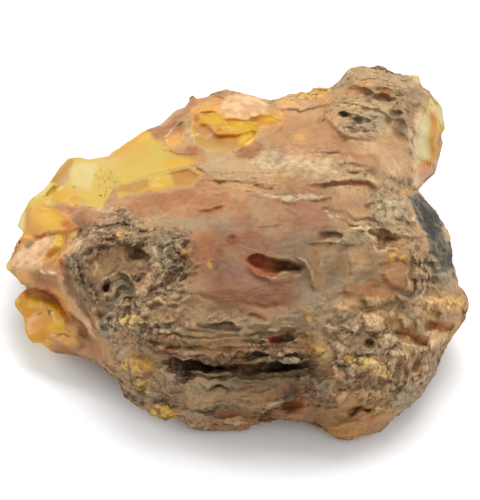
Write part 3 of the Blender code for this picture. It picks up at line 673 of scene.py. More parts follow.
def fine_seams(skin: Skin) -> None:
    """Thin fissures, scars and small lips over the middle of the top.

    Args:
        skin: the heights that it is worked into.
    """
    skin.work(ledges=[
        ((250, 184, 262, 186, 278, 186), 0.2, 4, 0.4, 4, 0.4),
        ((300, 187, 328, 182, 352, 180, 366, 184), 0.3, 5, 0.5, 4, 0.4),
        ((350, 189, 372, 188, 392, 194), 0.3, 5, 0.5, 4, 0.4),
        ((238, 190, 270, 193, 292, 192, 318, 192, 344, 196), 0.4, 7, 0.5, 5),
        ((285, 198, 300, 194, 316, 198, 334, 200), 0.4, 6, 0.6, 5),
        ((194, 209, 212, 211, 233, 207), 0.1, 5, 0.25, 3, 0.4),
        ((248, 226, 268, 229, 292, 224), 0.2, 8, 0.3, 8, 0.4),
        ((318, 206, 336, 217, 352, 223, 366, 228), 0.3, 6, 0.4, 5, 0.12, 1.0),
        ((300, 204, 328, 208, 356, 216, 392, 220), 0.4, 8, 0.5, 6, 0.3),
        ((270, 200, 290, 210, 300, 222), 0.3, 10, 0.3, 8, 0.4),
    ], pits=[
        (230, 241, 6, 8, 0.4, -20, 0.9), (218, 252, 5, 6, 0.5, 0, 0.9),
        (302, 244, 9, 8, 0.6, 0, 0.9), (332, 262, 10, 13, -0.6, 10, 0.9),
        (366, 268, 12, 11, -0.7, -10, 0.8), (378, 288, 9, 6, 0.6, 0, 0.9),
    ], strokes=[
        ((238, 236, 250, 235, 264, 237), 3, -0.3), ((206, 255, 211, 262, 214, 270), 4, -0.6),
        ((196, 292, 206, 300, 222, 303), 4, -0.4), ((240, 302, 262, 306, 286, 302), 5, -0.4),
        ((291, 252, 306, 263, 314, 279, 318, 296), 4, 0.6),
        ((342, 248, 346, 262, 348, 278), 7, -0.7), ((322, 296, 342, 292, 360, 298), 6, 0.5),
    ])


def fine_eye(skin: Skin) -> None:
    """The cavity's pale lower lip and the step inside it.

    Args:
        skin: the heights that it is worked into.
    """
    skin.work(ledges=[
        ((305, 280, 290, 275, 281, 272.5, 275, 276, 262, 275, 252, 268, 245, 259), 0.5, 5, 0.6, 4,
         0.1, 1.0),
    ], strokes=[
        ((262, 258, 274, 261, 284, 268), 4, 0.4),
    ])


def fine_flank(skin: Skin) -> None:
    """Grains, knobs, slits and folds of the right side.

    Args:
        skin: the heights that it is worked into.
    """
    skin.work(ledges=[
        ((406, 251, 392, 249, 378, 248, 374, 238, 362, 227, 341, 231), 0.6, 5, 0.7, 4, 0.12, 1.0),
        ((341, 241, 330, 242, 319, 236), 0.5, 4, 0.9, 4, 0.12, 1.0),
        ((378, 264, 392, 258, 406, 266), 0.5, 6, 0.5, 5),
        ((424, 322, 438, 327, 454, 328), 0.5, 5, 1.2, 4),
        ((394, 328, 408, 333, 428, 344), 0.5, 5, 1.0, 4),
        ((330, 345, 352, 350, 372, 354, 394, 352), 0.5, 7, 0.7, 6),
        ((352, 362, 368, 368, 384, 380, 396, 384), 0.5, 6, 0.7, 6),
    ], pits=[
        (392, 242, 8, 5, 0.8, 15, 0.9), (374, 236, 7, 4, 0.8, 20, 0.9), (372, 321, 9, 8, -0.7),
        (352, 326, 9, 6, -0.5, 20), (440, 312, 9, 5, -0.6, -10), (456, 300, 8, 5, -0.6, 20),
        (369, 342, 5, 4, 1.0), (334, 372, 11, 9, -0.7, 20), (372, 364, 6, 4, -0.7),
        (437, 259, 9, 7, -1.3, 0, 0.7),
    ], strokes=[
        ((404, 270, 407, 280, 404, 292), 4, 0.7), ((360, 297, 372, 303, 386, 300), 5, 0.6),
        ((360, 316, 364, 330, 378, 333), 3, -0.6), ((316, 362, 314, 378, 318, 394), 4, 0.6),
        ((350, 409, 358, 406, 370, 411), 4, -1.0),
        ((334, 398, 352, 396, 376, 402, 396, 398), 5, -0.6),
        ((330, 414, 350, 417, 378, 415), 5, -0.5),
    ])
    for x, y, size in (
        (436, 258, 6), (446, 264, 5), (439, 272, 6), (449, 279, 6), (434, 284, 5), (443, 290, 5),
        (428, 268, 5), (430, 250, 5), (447, 252, 4), (378, 197, 5), (386, 206, 6), (374, 212, 5),
        (394, 214, 5), (403, 206, 5), (367, 203, 5), (398, 226, 5), (386, 221, 4), (416, 219, 4),
    ):
        skin.pit(x, y, size, size * 0.8, -0.8, turn=x * 5.0, wall=0.8)
    for x, y, wide, tall in (
        (352, 326, 9, 7), (342, 312, 8, 7), (394, 312, 8, 7), (400, 296, 7, 6), (350, 290, 8, 7),
        (330, 330, 9, 7), (340, 350, 8, 6), (398, 352, 8, 6), (384, 340, 9, 6), (412, 372, 7, 6),
        (388, 388, 10, 7), (360, 392, 9, 7), (340, 396, 8, 6), (374, 410, 8, 5), (350, 370, 8, 6),
        (324, 350, 7, 7), (428, 308, 8, 6), (444, 318, 7, 5), (416, 324, 7, 5), (404, 322, 6, 5),
        (432, 346, 8, 7), (426, 368, 6, 8), (400, 398, 9, 6), (366, 300, 8, 5), (384, 300, 7, 5),
    ):
        skin.pit(x, y, wide, tall, -1.3, turn=x * 5.0 + y, wall=0.6)
    for x in (412, 419, 426):
        skin.stroke((x, 252, x + 1, 274, x - 3, 300), 3, -0.8)
    for x, lean in ((402, 4), (410, 6), (418, 6), (426, 5)):
        skin.stroke((x + lean, 344, x, 366, x - 2, 388), 4, 1.1)


def fine_left(skin: Skin) -> None:
    """Ribs of the left end, and the shell-shaped waves of the hanging lobe.

    Args:
        skin: the heights that it is worked into.
    """
    skin.work(ledges=[
        ((30, 294, 44, 296, 60, 304, 70, 316), 0.5, 5, 0.9, 5),
        ((32, 340, 46, 346, 62, 350, 84, 354), 0.3, 6, 0.4, 6),
    ], strokes=[
        ((36, 272, 50, 274, 62, 277), 3, 0.5), ((14, 262, 30, 262, 46, 266), 4, 0.5),
        ((12, 276, 28, 280, 48, 286), 4, 0.4), ((46, 304, 49, 312, 54, 322), 2, -0.3),
        ((42, 313, 50, 311, 58, 313), 2, -0.3), ((50, 333, 60, 331, 74, 336), 4, -0.4),
        ((54, 341, 64, 338, 76, 342), 4, -0.4), ((70, 330, 84, 338, 98, 350), 5, 0.5),
    ])
    for x, y in ((30, 244), (46, 246), (66, 248), (84, 244)):
        skin.ledge((x + 12, y - 10, x, y, x - 9, y + 14), 0.5, 6, 0.6, 4)


def fine_crust(skin: Skin) -> None:
    """Crumbs, holes and torn edges of the rough patch.

    Args:
        skin: the heights that it is worked into.
    """
    for x, y, wide, tall, depth in (
        (74, 262, 7, 5, -0.9), (84, 282, 6, 5, 0.9), (100, 240, 6, 4, 0.8), (84, 238, 8, 5, -0.8),
        (118, 232, 9, 4, -0.8), (136, 238, 10, 4, -0.7), (150, 246, 8, 5, -0.8),
        (110, 268, 6, 5, -0.8), (104, 298, 7, 5, -0.9), (118, 286, 7, 6, -0.9),
        (112, 308, 7, 5, 0.8), (92, 300, 6, 5, -0.8), (98, 314, 5, 5, 0.8), (124, 312, 9, 5, -0.8),
        (132, 302, 7, 4, 0.8), (146, 310, 9, 5, -0.7), (160, 304, 7, 5, 0.7),
        (172, 296, 7, 6, -0.8), (184, 282, 8, 6, -0.8), (178, 312, 10, 5, -0.6),
        (120, 336, 8, 6, -0.7), (132, 344, 8, 5, 0.9), (146, 336, 8, 5, -0.6),
        (112, 332, 6, 6, -0.7), (124, 352, 7, 5, -0.7), (196, 262, 8, 6, -0.7),
        (168, 250, 7, 4, 0.9), (180, 246, 8, 4, -0.7), (142, 280, 6, 5, 0.8),
    ):
        sunk = depth if depth < 0 else 0.45 * depth
        skin.pit(x, y, wide, tall, sunk, turn=x * 7.0 + y, wall=0.75)
    skin.facet([(98, 240, 31.6), (116, 237, 34.5), (122, 260, 33.4), (110, 276, 31.4),
                (97, 268, 30.6)], soft=4)
    skin.work(ledges=[
        ((102, 276, 116, 270, 130, 276, 137, 290, 128, 304), 0.6, 4, 0.9, 4, 0.12, 1.0),
        ((110, 298, 118, 290, 128, 284), 0.6, 4, 0.7, 4, 0.12, 1.0),
        ((104, 302, 118, 307, 134, 305), 0.6, 4, 0.7, 4, 0.12, 1.0),
        ((118, 250, 130, 247, 144, 251, 150, 260), 0.5, 5, 1.0, 5),
        ((100, 282, 108, 279, 116, 284), 0.4, 4, 0.9, 4),
        ((152, 262, 146, 280, 138, 298), 0.4, 4, 0.8, 5),
        ((166, 288, 176, 270, 188, 258), 0.4, 5, 0.9, 5),
        ((70, 256, 92, 248, 112, 250), 0.4, 6, 0.7, 5),
        ((94, 226, 114, 222, 138, 228, 160, 232), 0.5, 6, 0.8, 5),
        ((108, 326, 128, 322, 152, 324, 176, 322), 0.4, 6, 0.7, 5),
    ])
    for line in (
        (98, 292, 104, 279, 118, 271, 132, 275, 138, 287, 134, 300),
        (103, 300, 110, 291, 122, 285, 130, 284), (108, 308, 120, 303, 132, 294),
        (70, 250, 84, 256, 90, 268, 88, 284, 96, 300), (78, 262, 80, 276, 88, 290),
        (154, 244, 160, 252, 158, 262), (164, 240, 170, 250, 168, 260),
        (174, 240, 180, 248, 176, 258), (146, 306, 160, 300, 176, 304, 192, 298),
    ):
        skin.stroke(line, 2.6, 0.7)


def fine_front(skin: Skin) -> None:
    """Thin bands, teeth and holes along the steep front.

    Args:
        skin: the heights that it is worked into.
    """
    skin.work(ledges=[
        ((200, 323, 218, 321, 238, 326), 0.3, 4, 0.8, 3, 0.12, 1.0),
        ((244, 313, 254, 314, 266, 318), 0.2, 4, 0.6, 3, 0.12, 1.0),
        ((166, 338, 196, 341, 230, 338, 262, 336), 0.4, 7, 0.5, 5),
        ((180, 330, 204, 328, 240, 333, 270, 326), 0.3, 6, 0.5, 5),
        ((190, 346, 216, 345, 244, 346, 270, 345, 300, 340), 0.4, 5, 0.6, 4),
        ((266, 333, 278, 328, 296, 327), 0.5, 5, 0.7, 4),
        ((180, 372, 214, 375, 250, 374, 290, 370, 318, 366), 0.7, 7, 0.8, 5),
        ((176, 382, 206, 386, 232, 386, 262, 384), 0.6, 6, 0.8, 5),
        ((226, 379, 252, 380, 276, 376, 296, 378), 0.4, 5, 0.6, 4),
        ((232, 394, 256, 393, 284, 388), 0.4, 5, 0.6, 4),
        ((184, 394, 214, 398, 244, 398, 272, 394, 300, 384), 0.5, 7, 0.6, 5),
        ((150, 372, 160, 382, 172, 398, 190, 408), 0.5, 6, 0.7, 5),
        ((262, 415, 268, 410, 282, 403, 297, 393), 0.4, 4, 0.9, 4, 0.12, 1.0),
    ], pits=[
        (171, 348, 9, 3.5, 1.0, 8), (275, 339, 9, 5, 1.6, -5), (221, 380, 7, 4, 1.0, 5),
        (186, 376, 9, 5, 0.9, 15), (200, 368, 6, 4, -0.9),
    ], strokes=[
        ((208, 386, 220, 388, 232, 391), 3, -0.9), ((206, 412, 230, 414, 256, 414), 4, -0.7),
        ((130, 362, 140, 370, 152, 366), 4, 0.6), ((132, 380, 142, 386, 150, 396), 4, -0.7),
        ((304, 330, 312, 344, 326, 350), 4, 0.5), ((160, 360, 180, 368, 196, 380), 4, -0.6),
    ])
    for x, y in ((226, 357), (278, 354), (200, 356), (252, 353)):
        skin.pit(x, y, 5, 5, -1.3, wall=0.9)


FINE_FORMS: tuple[Callable[[Skin], None], ...] = (
    fine_crown, fine_horn, fine_seams, fine_eye, fine_flank, fine_left, fine_crust,
    fine_front,
)


@dataclass
class Zones(Places):
    """Shares of each kind of skin at each place, from 0 to 1."""

    shares: dict[Zone, Array] = field(default_factory=dict)

    def keep(self, zone: Zone, share: Array) -> None:
        """Raise a zone's share to at least the share given.

        Args:
            zone: the zone.
            share: a share for each place.
        """
        had = self.shares.get(zone)
        share = np.clip(share, 0.0, 1.0)
        self.shares[zone] = share if had is None else np.maximum(had, share)

    def oval(self, zone: Zone, x: float, y: float, wide: float, tall: float, turn: float = 0.0,
             strength: float = 1.0, soft: float = 1.3) -> None:
        """Put an oval patch of a zone at x, y; sizes are half widths and turn is in degrees."""
        reach = self.reach(x, y, wide, tall, turn)
        self.keep(zone, strength * smooth((1.0 + 0.5 * soft - reach) / soft))

    def area(self, zone: Zone, corners: Line, soft: float = 8.0, strength: float = 1.0) -> None:
        """Fill a polygon with a zone; soft is half the width of its edge in drawing units."""
        depth = inset(np.reshape(corners, (-1, 2)), self.x, self.y)
        self.keep(zone, strength * smooth(0.5 * depth / soft + 0.5))

    def line(self, zone: Zone, points: Line, width: float, strength: float = 1.0) -> None:
        """Draw a zone along a line; width is half its width."""
        gap, place = self.measure(points)
        ends = smooth((0.5 - np.abs(place - 0.5)) / 0.3)
        self.keep(zone, strength * smooth((1.9 - np.abs(gap) / width) / 1.7) * ends)

    def paint(self, zone: Zone, areas: Rows = (), lines: Rows = (), ovals: Rows = ()) -> None:
        """Lay a zone down as areas, lines and ovals, one for each row of values.

        Args:
            zone: the zone.
            areas: rows of what an area takes after its zone.
            lines: rows of what a line takes after its zone.
            ovals: rows of what an oval takes after its zone.
        """
        for lay, rows in ((self.area, areas), (self.line, lines), (self.oval, ovals)):
            for row in rows:
                lay(zone, *row)


def paint_clear(zones: Zones) -> None:
    """Where the amber is clear, and where it turns from lemon to honey and orange.

    Args:
        zones: the zones that are laid.
    """
    zones.paint(Zone.WINDOW, areas=[
        ((30, 204, 54, 146, 84, 146, 111, 142, 134, 128, 150, 132, 150, 150, 140, 178, 113, 188,
         101, 208, 76, 205, 62, 203, 48, 207), 2.5),
        ((120, 130, 150, 134, 166, 145, 178, 154, 198, 157, 190, 167, 150, 176, 113, 186), 10),
        ((116, 192, 118, 186, 150, 176, 188, 167, 199, 174, 192, 183, 176, 187, 160, 191, 150, 190,
         134, 193, 118, 198), 2.5), ((180, 172, 190, 166, 204, 174, 194, 185, 182, 186), 2.5),
        ((6, 226, 12, 210, 24, 196, 38, 203, 48, 207, 61, 214, 79, 226, 70, 231, 38, 236, 18, 234),
         2.5),
        ((194, 113, 205, 109, 217, 111, 226, 116, 237, 119, 250, 118, 265, 113, 278, 114, 284, 121,
         274, 126, 262, 124, 257, 134, 246, 142, 232, 151, 206, 151, 194, 142, 190, 128, 196, 121),
         2.2),
        ((4, 312, 10, 296, 26, 297, 46, 300, 60, 307, 68, 318, 64, 330, 54, 340, 44, 352, 20, 348),
         3),
        ((432, 98, 436, 88, 456, 96, 458, 140, 450, 172, 426, 190, 413, 184, 419, 165, 420, 140,
         424, 118), 3), ((58, 231, 66, 231, 64, 240, 58, 250, 49, 258, 53, 246, 57, 238), 2),
        ((70, 232, 79, 229, 75, 237, 69, 239), 2), ((412, 70, 424, 72, 426, 82, 416, 81), 2),
    ], lines=[
        ((12, 258, 5, 268, 12, 280, 26, 290), 2.6),
        ((22, 330, 30, 341, 46, 350, 56, 356, 84, 358), 2.6),
    ], ovals=[
        (428, 170, 13, 16, -20),
    ])
    # The first oval brightens the lower window facet: partly its deeper yellow, partly painted glow
    # of light passing through it.
    zones.paint(Zone.GOLD, ovals=[
        (64, 196, 17, 8, 20), (48, 219, 18, 9, 16), (57, 242, 5, 12, 30), (159, 184, 9, 5),
        (212, 117, 13, 5, 14), (240, 126, 16, 5, -6), (268, 117, 9, 3), (246, 136, 7, 9, 40),
        (58, 327, 9, 7), (28, 303, 16, 5, 10), (176, 163, 16, 4, -8), (443, 112, 5, 22, -6),
        (418, 76, 6, 5), (52, 312, 9, 4),
    ])
    zones.paint(Zone.HONEY, areas=[
        ((36, 204, 66, 212, 74, 228, 64, 262, 40, 262, 16, 244, 30, 210), 6),
        ((112, 140, 134, 130, 150, 132, 150, 156, 128, 164, 110, 160), 14, 0.45),
        ((160, 134, 186, 150, 206, 158, 196, 166, 170, 160), 12, 0.6),
        ((172, 174, 190, 166, 204, 174, 192, 186, 174, 186), 4, 0.9),
        ((322, 428, 336, 424, 366, 424, 374, 436, 350, 448, 324, 444), 5, 0.8),
        ((420, 300, 440, 294, 462, 296, 464, 312, 440, 322, 424, 318), 5, 0.75),
        ((344, 352, 362, 352, 374, 362, 392, 364, 392, 378, 372, 382, 352, 372), 5, 0.9),
        ((276, 94, 326, 88, 330, 100, 282, 108), 5, 0.8),
        ((128, 356, 150, 356, 154, 374, 150, 394, 132, 392), 5, 0.7),
        ((150, 406, 174, 404, 178, 420, 154, 422), 4, 0.9),
        ((190, 106, 222, 98, 262, 108, 284, 112, 282, 124, 262, 128, 254, 140, 240, 148, 226, 150,
         206, 134, 190, 126), 4), ((160, 146, 168, 132, 182, 130, 186, 148), 4, 0.8),
        ((292, 131, 311, 131, 311, 143, 292, 143), 5, 0.5),
        ((196, 108, 226, 92, 224, 112, 206, 112), 5, 0.9),
        ((0, 290, 70, 290, 76, 344, 10, 350), 10),
        ((430, 112, 438, 106, 448, 128, 448, 150, 442, 180, 414, 190, 420, 150), 5, 0.9),
        ((8, 262, 28, 268, 34, 284, 18, 284), 5, 0.8),
    ], lines=[
        ((84, 159, 107, 156, 133, 139, 160, 124), 3, 0.6), ((271, 100, 300, 92, 331, 87), 4, 0.8),
        ((424, 330, 440, 331, 454, 330), 3, 0.9), ((398, 335, 410, 339, 426, 346), 3, 0.9),
    ], ovals=[
        (430, 142, 11, 34, 0, 0.7), (428, 172, 13, 14, -20),
    ])
    zones.paint(Zone.ORANGE, lines=[
        ((26, 233, 34, 237, 44, 235, 54, 232), 2.2),
        ((22, 291, 36, 291, 50, 295, 62, 303, 72, 314), 4.4), ((52, 262, 60, 262, 66, 268), 3),
        ((190, 421, 214, 425, 240, 423, 260, 420, 264, 411), 1.6, 0.8),
        ((202, 124, 212, 129, 220, 136, 234, 137, 248, 132), 1.6, 0.7),
        ((257, 128, 253, 137, 244, 144, 232, 150), 1.4, 0.6),
    ], ovals=[
        (430, 172, 9, 9, -20), (444, 140, 4, 6), (346, 437, 22, 6), (68, 225, 9, 4, 20),
        (20, 294, 10, 4), (163, 410, 12, 5, 10), (196, 117, 4, 4), (430, 172, 11, 9, -20, 0.9),
    ])
    zones.paint(Zone.ROSE, areas=[
        ((46, 182, 64, 157, 72, 156, 70, 166, 68, 180, 60, 186), 2),
        ((116, 192, 118, 186, 148, 178, 150, 186, 134, 193), 2),
        ((14, 226, 18, 206, 30, 206, 26, 232), 4, 0.9),
        ((168, 170, 188, 167, 198, 175, 176, 186), 3, 0.9),
        ((54, 198, 72, 198, 72, 204, 54, 206), 3, 0.8), ((176, 148, 204, 150, 206, 164, 188, 162),),
        ((193, 124, 204, 126, 212, 130, 224, 139, 240, 137, 236, 148, 224, 152, 206, 150, 195, 142),
         3),
    ])
    zones.paint(Zone.PALE, areas=[
        ((68, 168, 82, 160, 96, 164, 90, 190, 72, 184), 5),
        ((418, 112, 432, 108, 432, 158, 417, 164), 4), ((438, 92, 452, 98, 452, 126, 441, 122), 4),
        ((14, 226, 16, 208, 24, 206, 22, 230), 3),
    ], ovals=[
        # These two small straw spots near the left rim are painted glints.
        (48, 194, 2, 8, 10), (58, 188, 2, 4, 50),
    ])
    zones.paint(Zone.DARK, areas=[
        ((90, 168, 110, 164, 126, 184, 118, 192, 102, 200, 92, 190), 6, 0.38),
    ], lines=[
        ((152, 145, 162, 149, 175, 153, 188, 155, 202, 153), 0.9, 0.6),
    ])
    for points in (
        (43, 316, 48, 312, 55, 308), (46, 308, 48, 313, 47, 319),
        (52, 341, 56, 336, 64, 334, 73, 339), (30, 315, 38, 314, 44, 312),
        (94, 195, 98, 196, 102, 196), (68, 186, 71, 187, 75, 186), (196, 112, 206, 111, 216, 112),
    ):
        zones.line(Zone.DARK, points, 0.9, 0.8)


def paint_skin(zones: Zones) -> None:
    """Rose and cream skin over milky amber.

    Args:
        zones: the zones that are laid.
    """
    zones.paint(Zone.ROSE, areas=[
        ((104, 202, 150, 192, 206, 178, 250, 198, 250, 226, 196, 224, 150, 216, 118, 222), 14),
        ((196, 226, 250, 222, 316, 236, 314, 296, 262, 312, 204, 300), 24, 0.85),
        ((148, 130, 165, 122, 180, 108, 192, 94, 200, 100, 192, 112, 176, 120, 166, 138, 158, 142,
         150, 138), 3),
        ((256, 116, 284, 118, 330, 112, 396, 136, 410, 170, 330, 168, 262, 150), 16, 0.5),
        ((44, 207, 62, 203, 73, 203, 86, 214, 88, 226, 72, 228, 60, 219), 3),
        ((8, 258, 28, 240, 52, 240, 70, 262, 86, 306, 104, 350, 72, 352, 62, 300, 30, 290), 10,
         0.9), ((54, 326, 78, 318, 108, 360, 84, 360, 50, 354), 6),
        ((171, 122, 182, 120, 180, 133, 170, 134), 3),
    ], ovals=[
        (248, 150, 14, 6, -14), (358, 163, 34, 14, 8, 0.55), (393, 277, 14, 15, 0, 0.6),
        (337, 373, 14, 12, 0, 0.8), (300, 208, 40, 22, 8, 0.8), (340, 205, 34, 12, 8, 0.5),
        (296, 417, 34, 7, 4, 0.6),
    ])
    zones.paint(Zone.PALE, areas=[
        ((222, 94, 250, 93, 270, 101, 266, 112, 250, 116, 244, 120, 230, 118, 222, 110), 5, 0.9),
        ((274, 97, 300, 96, 310, 98, 320, 116, 300, 118, 280, 112), 6, 0.4),
        ((34, 240, 54, 233, 56, 240, 50, 250, 38, 262, 28, 258), 2.5),
        ((66, 241, 84, 236, 82, 244, 70, 256, 60, 257), 2.5, 0.9),
        ((8, 262, 20, 244, 30, 252, 42, 260, 38, 268, 14, 268), 4, 0.9),
        ((204, 142, 230, 142, 228, 152, 206, 152), 6, 0.4),
        ((340, 130, 400, 140, 408, 168, 396, 176, 350, 150), 10, 0.6),
        ((56, 276, 64, 276, 82, 304, 96, 338, 86, 330, 70, 304), 4, 0.7),
        ((200, 327, 244, 328, 246, 344, 202, 346), 5, 0.5),
        ((240, 344, 300, 342, 302, 352, 276, 354, 244, 350), 4, 0.6),
        ((428, 332, 452, 330, 446, 342, 434, 346, 408, 344), 4, 0.7),
        ((194, 390, 238, 392, 240, 404, 196, 402), 6, 0.5),
    ], ovals=[
        (432, 306, 22, 9, 8, 0.9), (372, 321, 11, 9, 0, 0.8), (392, 276, 12, 12, 0, 0.35),
        (346, 305, 12, 9, 0, 0.7), (330, 372, 9, 8, 0, 0.6), (400, 366, 10, 20, 0, 0.6),
        (360, 396, 30, 8, 5, 0.6), (430, 342, 12, 6, 20, 0.8), (148, 280, 5, 16, 25, 0.9),
        (290, 416, 30, 5, 4, 0.7), (356, 262, 14, 12, 0, 0.5),
    ])
    zones.paint(Zone.CREAM, areas=[
        ((191, 118, 198, 120, 194, 138, 184, 142, 184, 126), 3, 0.3),
        ((246, 156, 262, 148, 336, 156, 344, 178, 262, 180), 14, 0.46),
        ((84, 206, 110, 206, 112, 212, 84, 212), 5, 0.5),
    ], lines=[
        ((30, 267, 42, 272, 60, 275), 1.5, 0.9),
        ((184, 116, 173, 127, 166, 139, 169, 148), 1.0, 0.6),
        ((246, 193, 285, 197, 312, 195, 342, 200), 2, 0.8),
        ((246, 261, 262, 274, 275, 276, 283, 273, 301, 281), 1.2, 0.9),
        ((341, 231, 360, 227, 374, 240, 378, 249, 406, 251), 1.6),
        ((319, 238, 329, 242, 341, 242), 1.8), ((410, 116, 413, 138, 415, 162), 1.6, 0.9),
        ((420, 94, 421, 130, 420, 172), 4, 0.6),
    ], ovals=[
        (416, 218, 5, 4), (372, 302, 13, 5, 0, 0.8), (388, 208, 22, 13, 30, 0.5),
    ])
    zones.area(Zone.GREY, (256, 152, 270, 148, 330, 158, 338, 178, 262, 180), 14, 0.4)
    # Thin cream lines along ledge crests and ridge tops: partly pale worn edges, partly painted
    # highlights.
    for points in (
        (98, 291, 104, 279, 118, 271, 132, 275, 138, 287), (103, 299, 110, 291, 122, 285),
        (99, 252, 96, 268, 92, 282), (110, 307, 122, 302, 132, 294), (152, 242, 158, 252, 156, 264),
        (162, 238, 168, 248, 166, 258), (146, 305, 160, 299, 176, 303),
        (98, 318, 106, 312, 116, 314), (196, 373, 216, 371, 236, 374),
        (240, 414, 260, 408, 276, 401, 297, 393), (214, 421, 236, 424, 258, 420),
        (424, 333, 440, 335, 454, 333), (396, 338, 410, 343, 426, 349),
        (345, 232, 356, 229, 370, 227, 392, 225), (358, 405, 372, 408, 392, 404),
        (404, 262, 406, 276, 405, 290), (316, 205, 334, 216, 352, 222),
        (290, 250, 305, 262, 314, 278, 316, 292), (344, 230, 356, 228, 372, 229, 391, 225),
        (320, 237, 334, 240, 350, 240),
    ):
        zones.line(Zone.CREAM, points, 1.1, 0.8)


def paint_crust(zones: Zones) -> None:
    """The weathered crust, and the grey veins and soot-coloured flank in it.

    Args:
        zones: the zones that are laid.
    """
    zones.paint(Zone.CRUST, areas=[
        ((56, 246, 94, 218, 150, 216, 190, 232, 202, 262, 192, 306, 200, 330, 150, 360, 112, 360,
         84, 306, 66, 274), 16),
        ((150, 326, 206, 334, 310, 328, 320, 400, 262, 414, 180, 412, 126, 398, 116, 360), 14, 0.9),
        ((340, 78, 366, 60, 410, 68, 430, 92, 420, 124, 408, 140, 380, 118, 340, 122), 14, 0.5),
        ((362, 190, 404, 190, 420, 232, 440, 262, 460, 300, 446, 340, 404, 300, 400, 240, 366, 236),
         16, 0.8), ((316, 300, 400, 300, 456, 330, 440, 380, 404, 410, 330, 404), 20, 0.85),
    ], lines=[
        ((196, 99, 222, 94, 250, 93, 274, 99), 4, 0.8),
    ])
    zones.paint(Zone.GREY, areas=[
        ((154, 212, 196, 214, 232, 214, 230, 232, 190, 232, 160, 226), 10, 0.7),
        ((196, 312, 262, 316, 306, 308, 312, 332, 262, 346, 204, 340), 14, 0.7),
    ], lines=[
        ((281, 222, 290, 250, 301, 276, 314, 302), 15, 0.65),
    ], ovals=[
        (326, 300, 30, 26, 0, 0.45), (304, 244, 11, 12, 0, 0.7), (308, 294, 14, 12, 20, 0.9),
        (334, 268, 12, 20, 0, 0.6), (350, 242, 16, 8, 0, 0.5), (362, 268, 22, 18, 0, 0.7),
        (216, 390, 30, 9, 0, 0.6), (376, 160, 20, 12, 10, 0.5), (412, 300, 20, 16, 0, 0.5),
        (106, 332, 8, 12, -20, 0.8), (167, 252, 12, 14, 20, 0.9), (118, 290, 20, 16, -20, 0.7),
        (80, 272, 10, 20, -10, 0.6), (252, 380, 44, 8, -3, 0.7), (431, 108, 5, 8, 20, 0.9),
        (372, 120, 16, 9, 10, 0.9), (354, 100, 26, 7, 12, 0.6), (366, 146, 24, 12, 10, 0.5),
        (442, 272, 12, 18, -15, 0.8), (388, 208, 22, 14, 30, 0.5), (326, 384, 8, 7, 0, 0.7),
        (404, 396, 22, 16, -30, 0.45), (278, 360, 32, 5, -2, 0.8),
    ])
    zones.oval(Zone.ROSE, 112, 218, 20, 8, 8, 0.9)
    zones.oval(Zone.ORANGE, 200, 248, 18, 20, 0, 0.6)
    zones.paint(Zone.CHARCOAL, areas=[
        ((406, 192, 424, 196, 440, 208, 450, 226, 456, 246, 456, 268, 444, 268, 438, 254, 430, 240,
         422, 228, 413, 214), 9),
    ])
    spared = np.clip((zones.reach(446, 233, 7, 9, 0) - 0.5) / 0.6, 0, 1)
    zones.shares[Zone.CHARCOAL] *= np.clip(spared + 0.15, 0, 1)
    zones.oval(Zone.GREY, 436, 260, 10, 8, 0, 0.9)


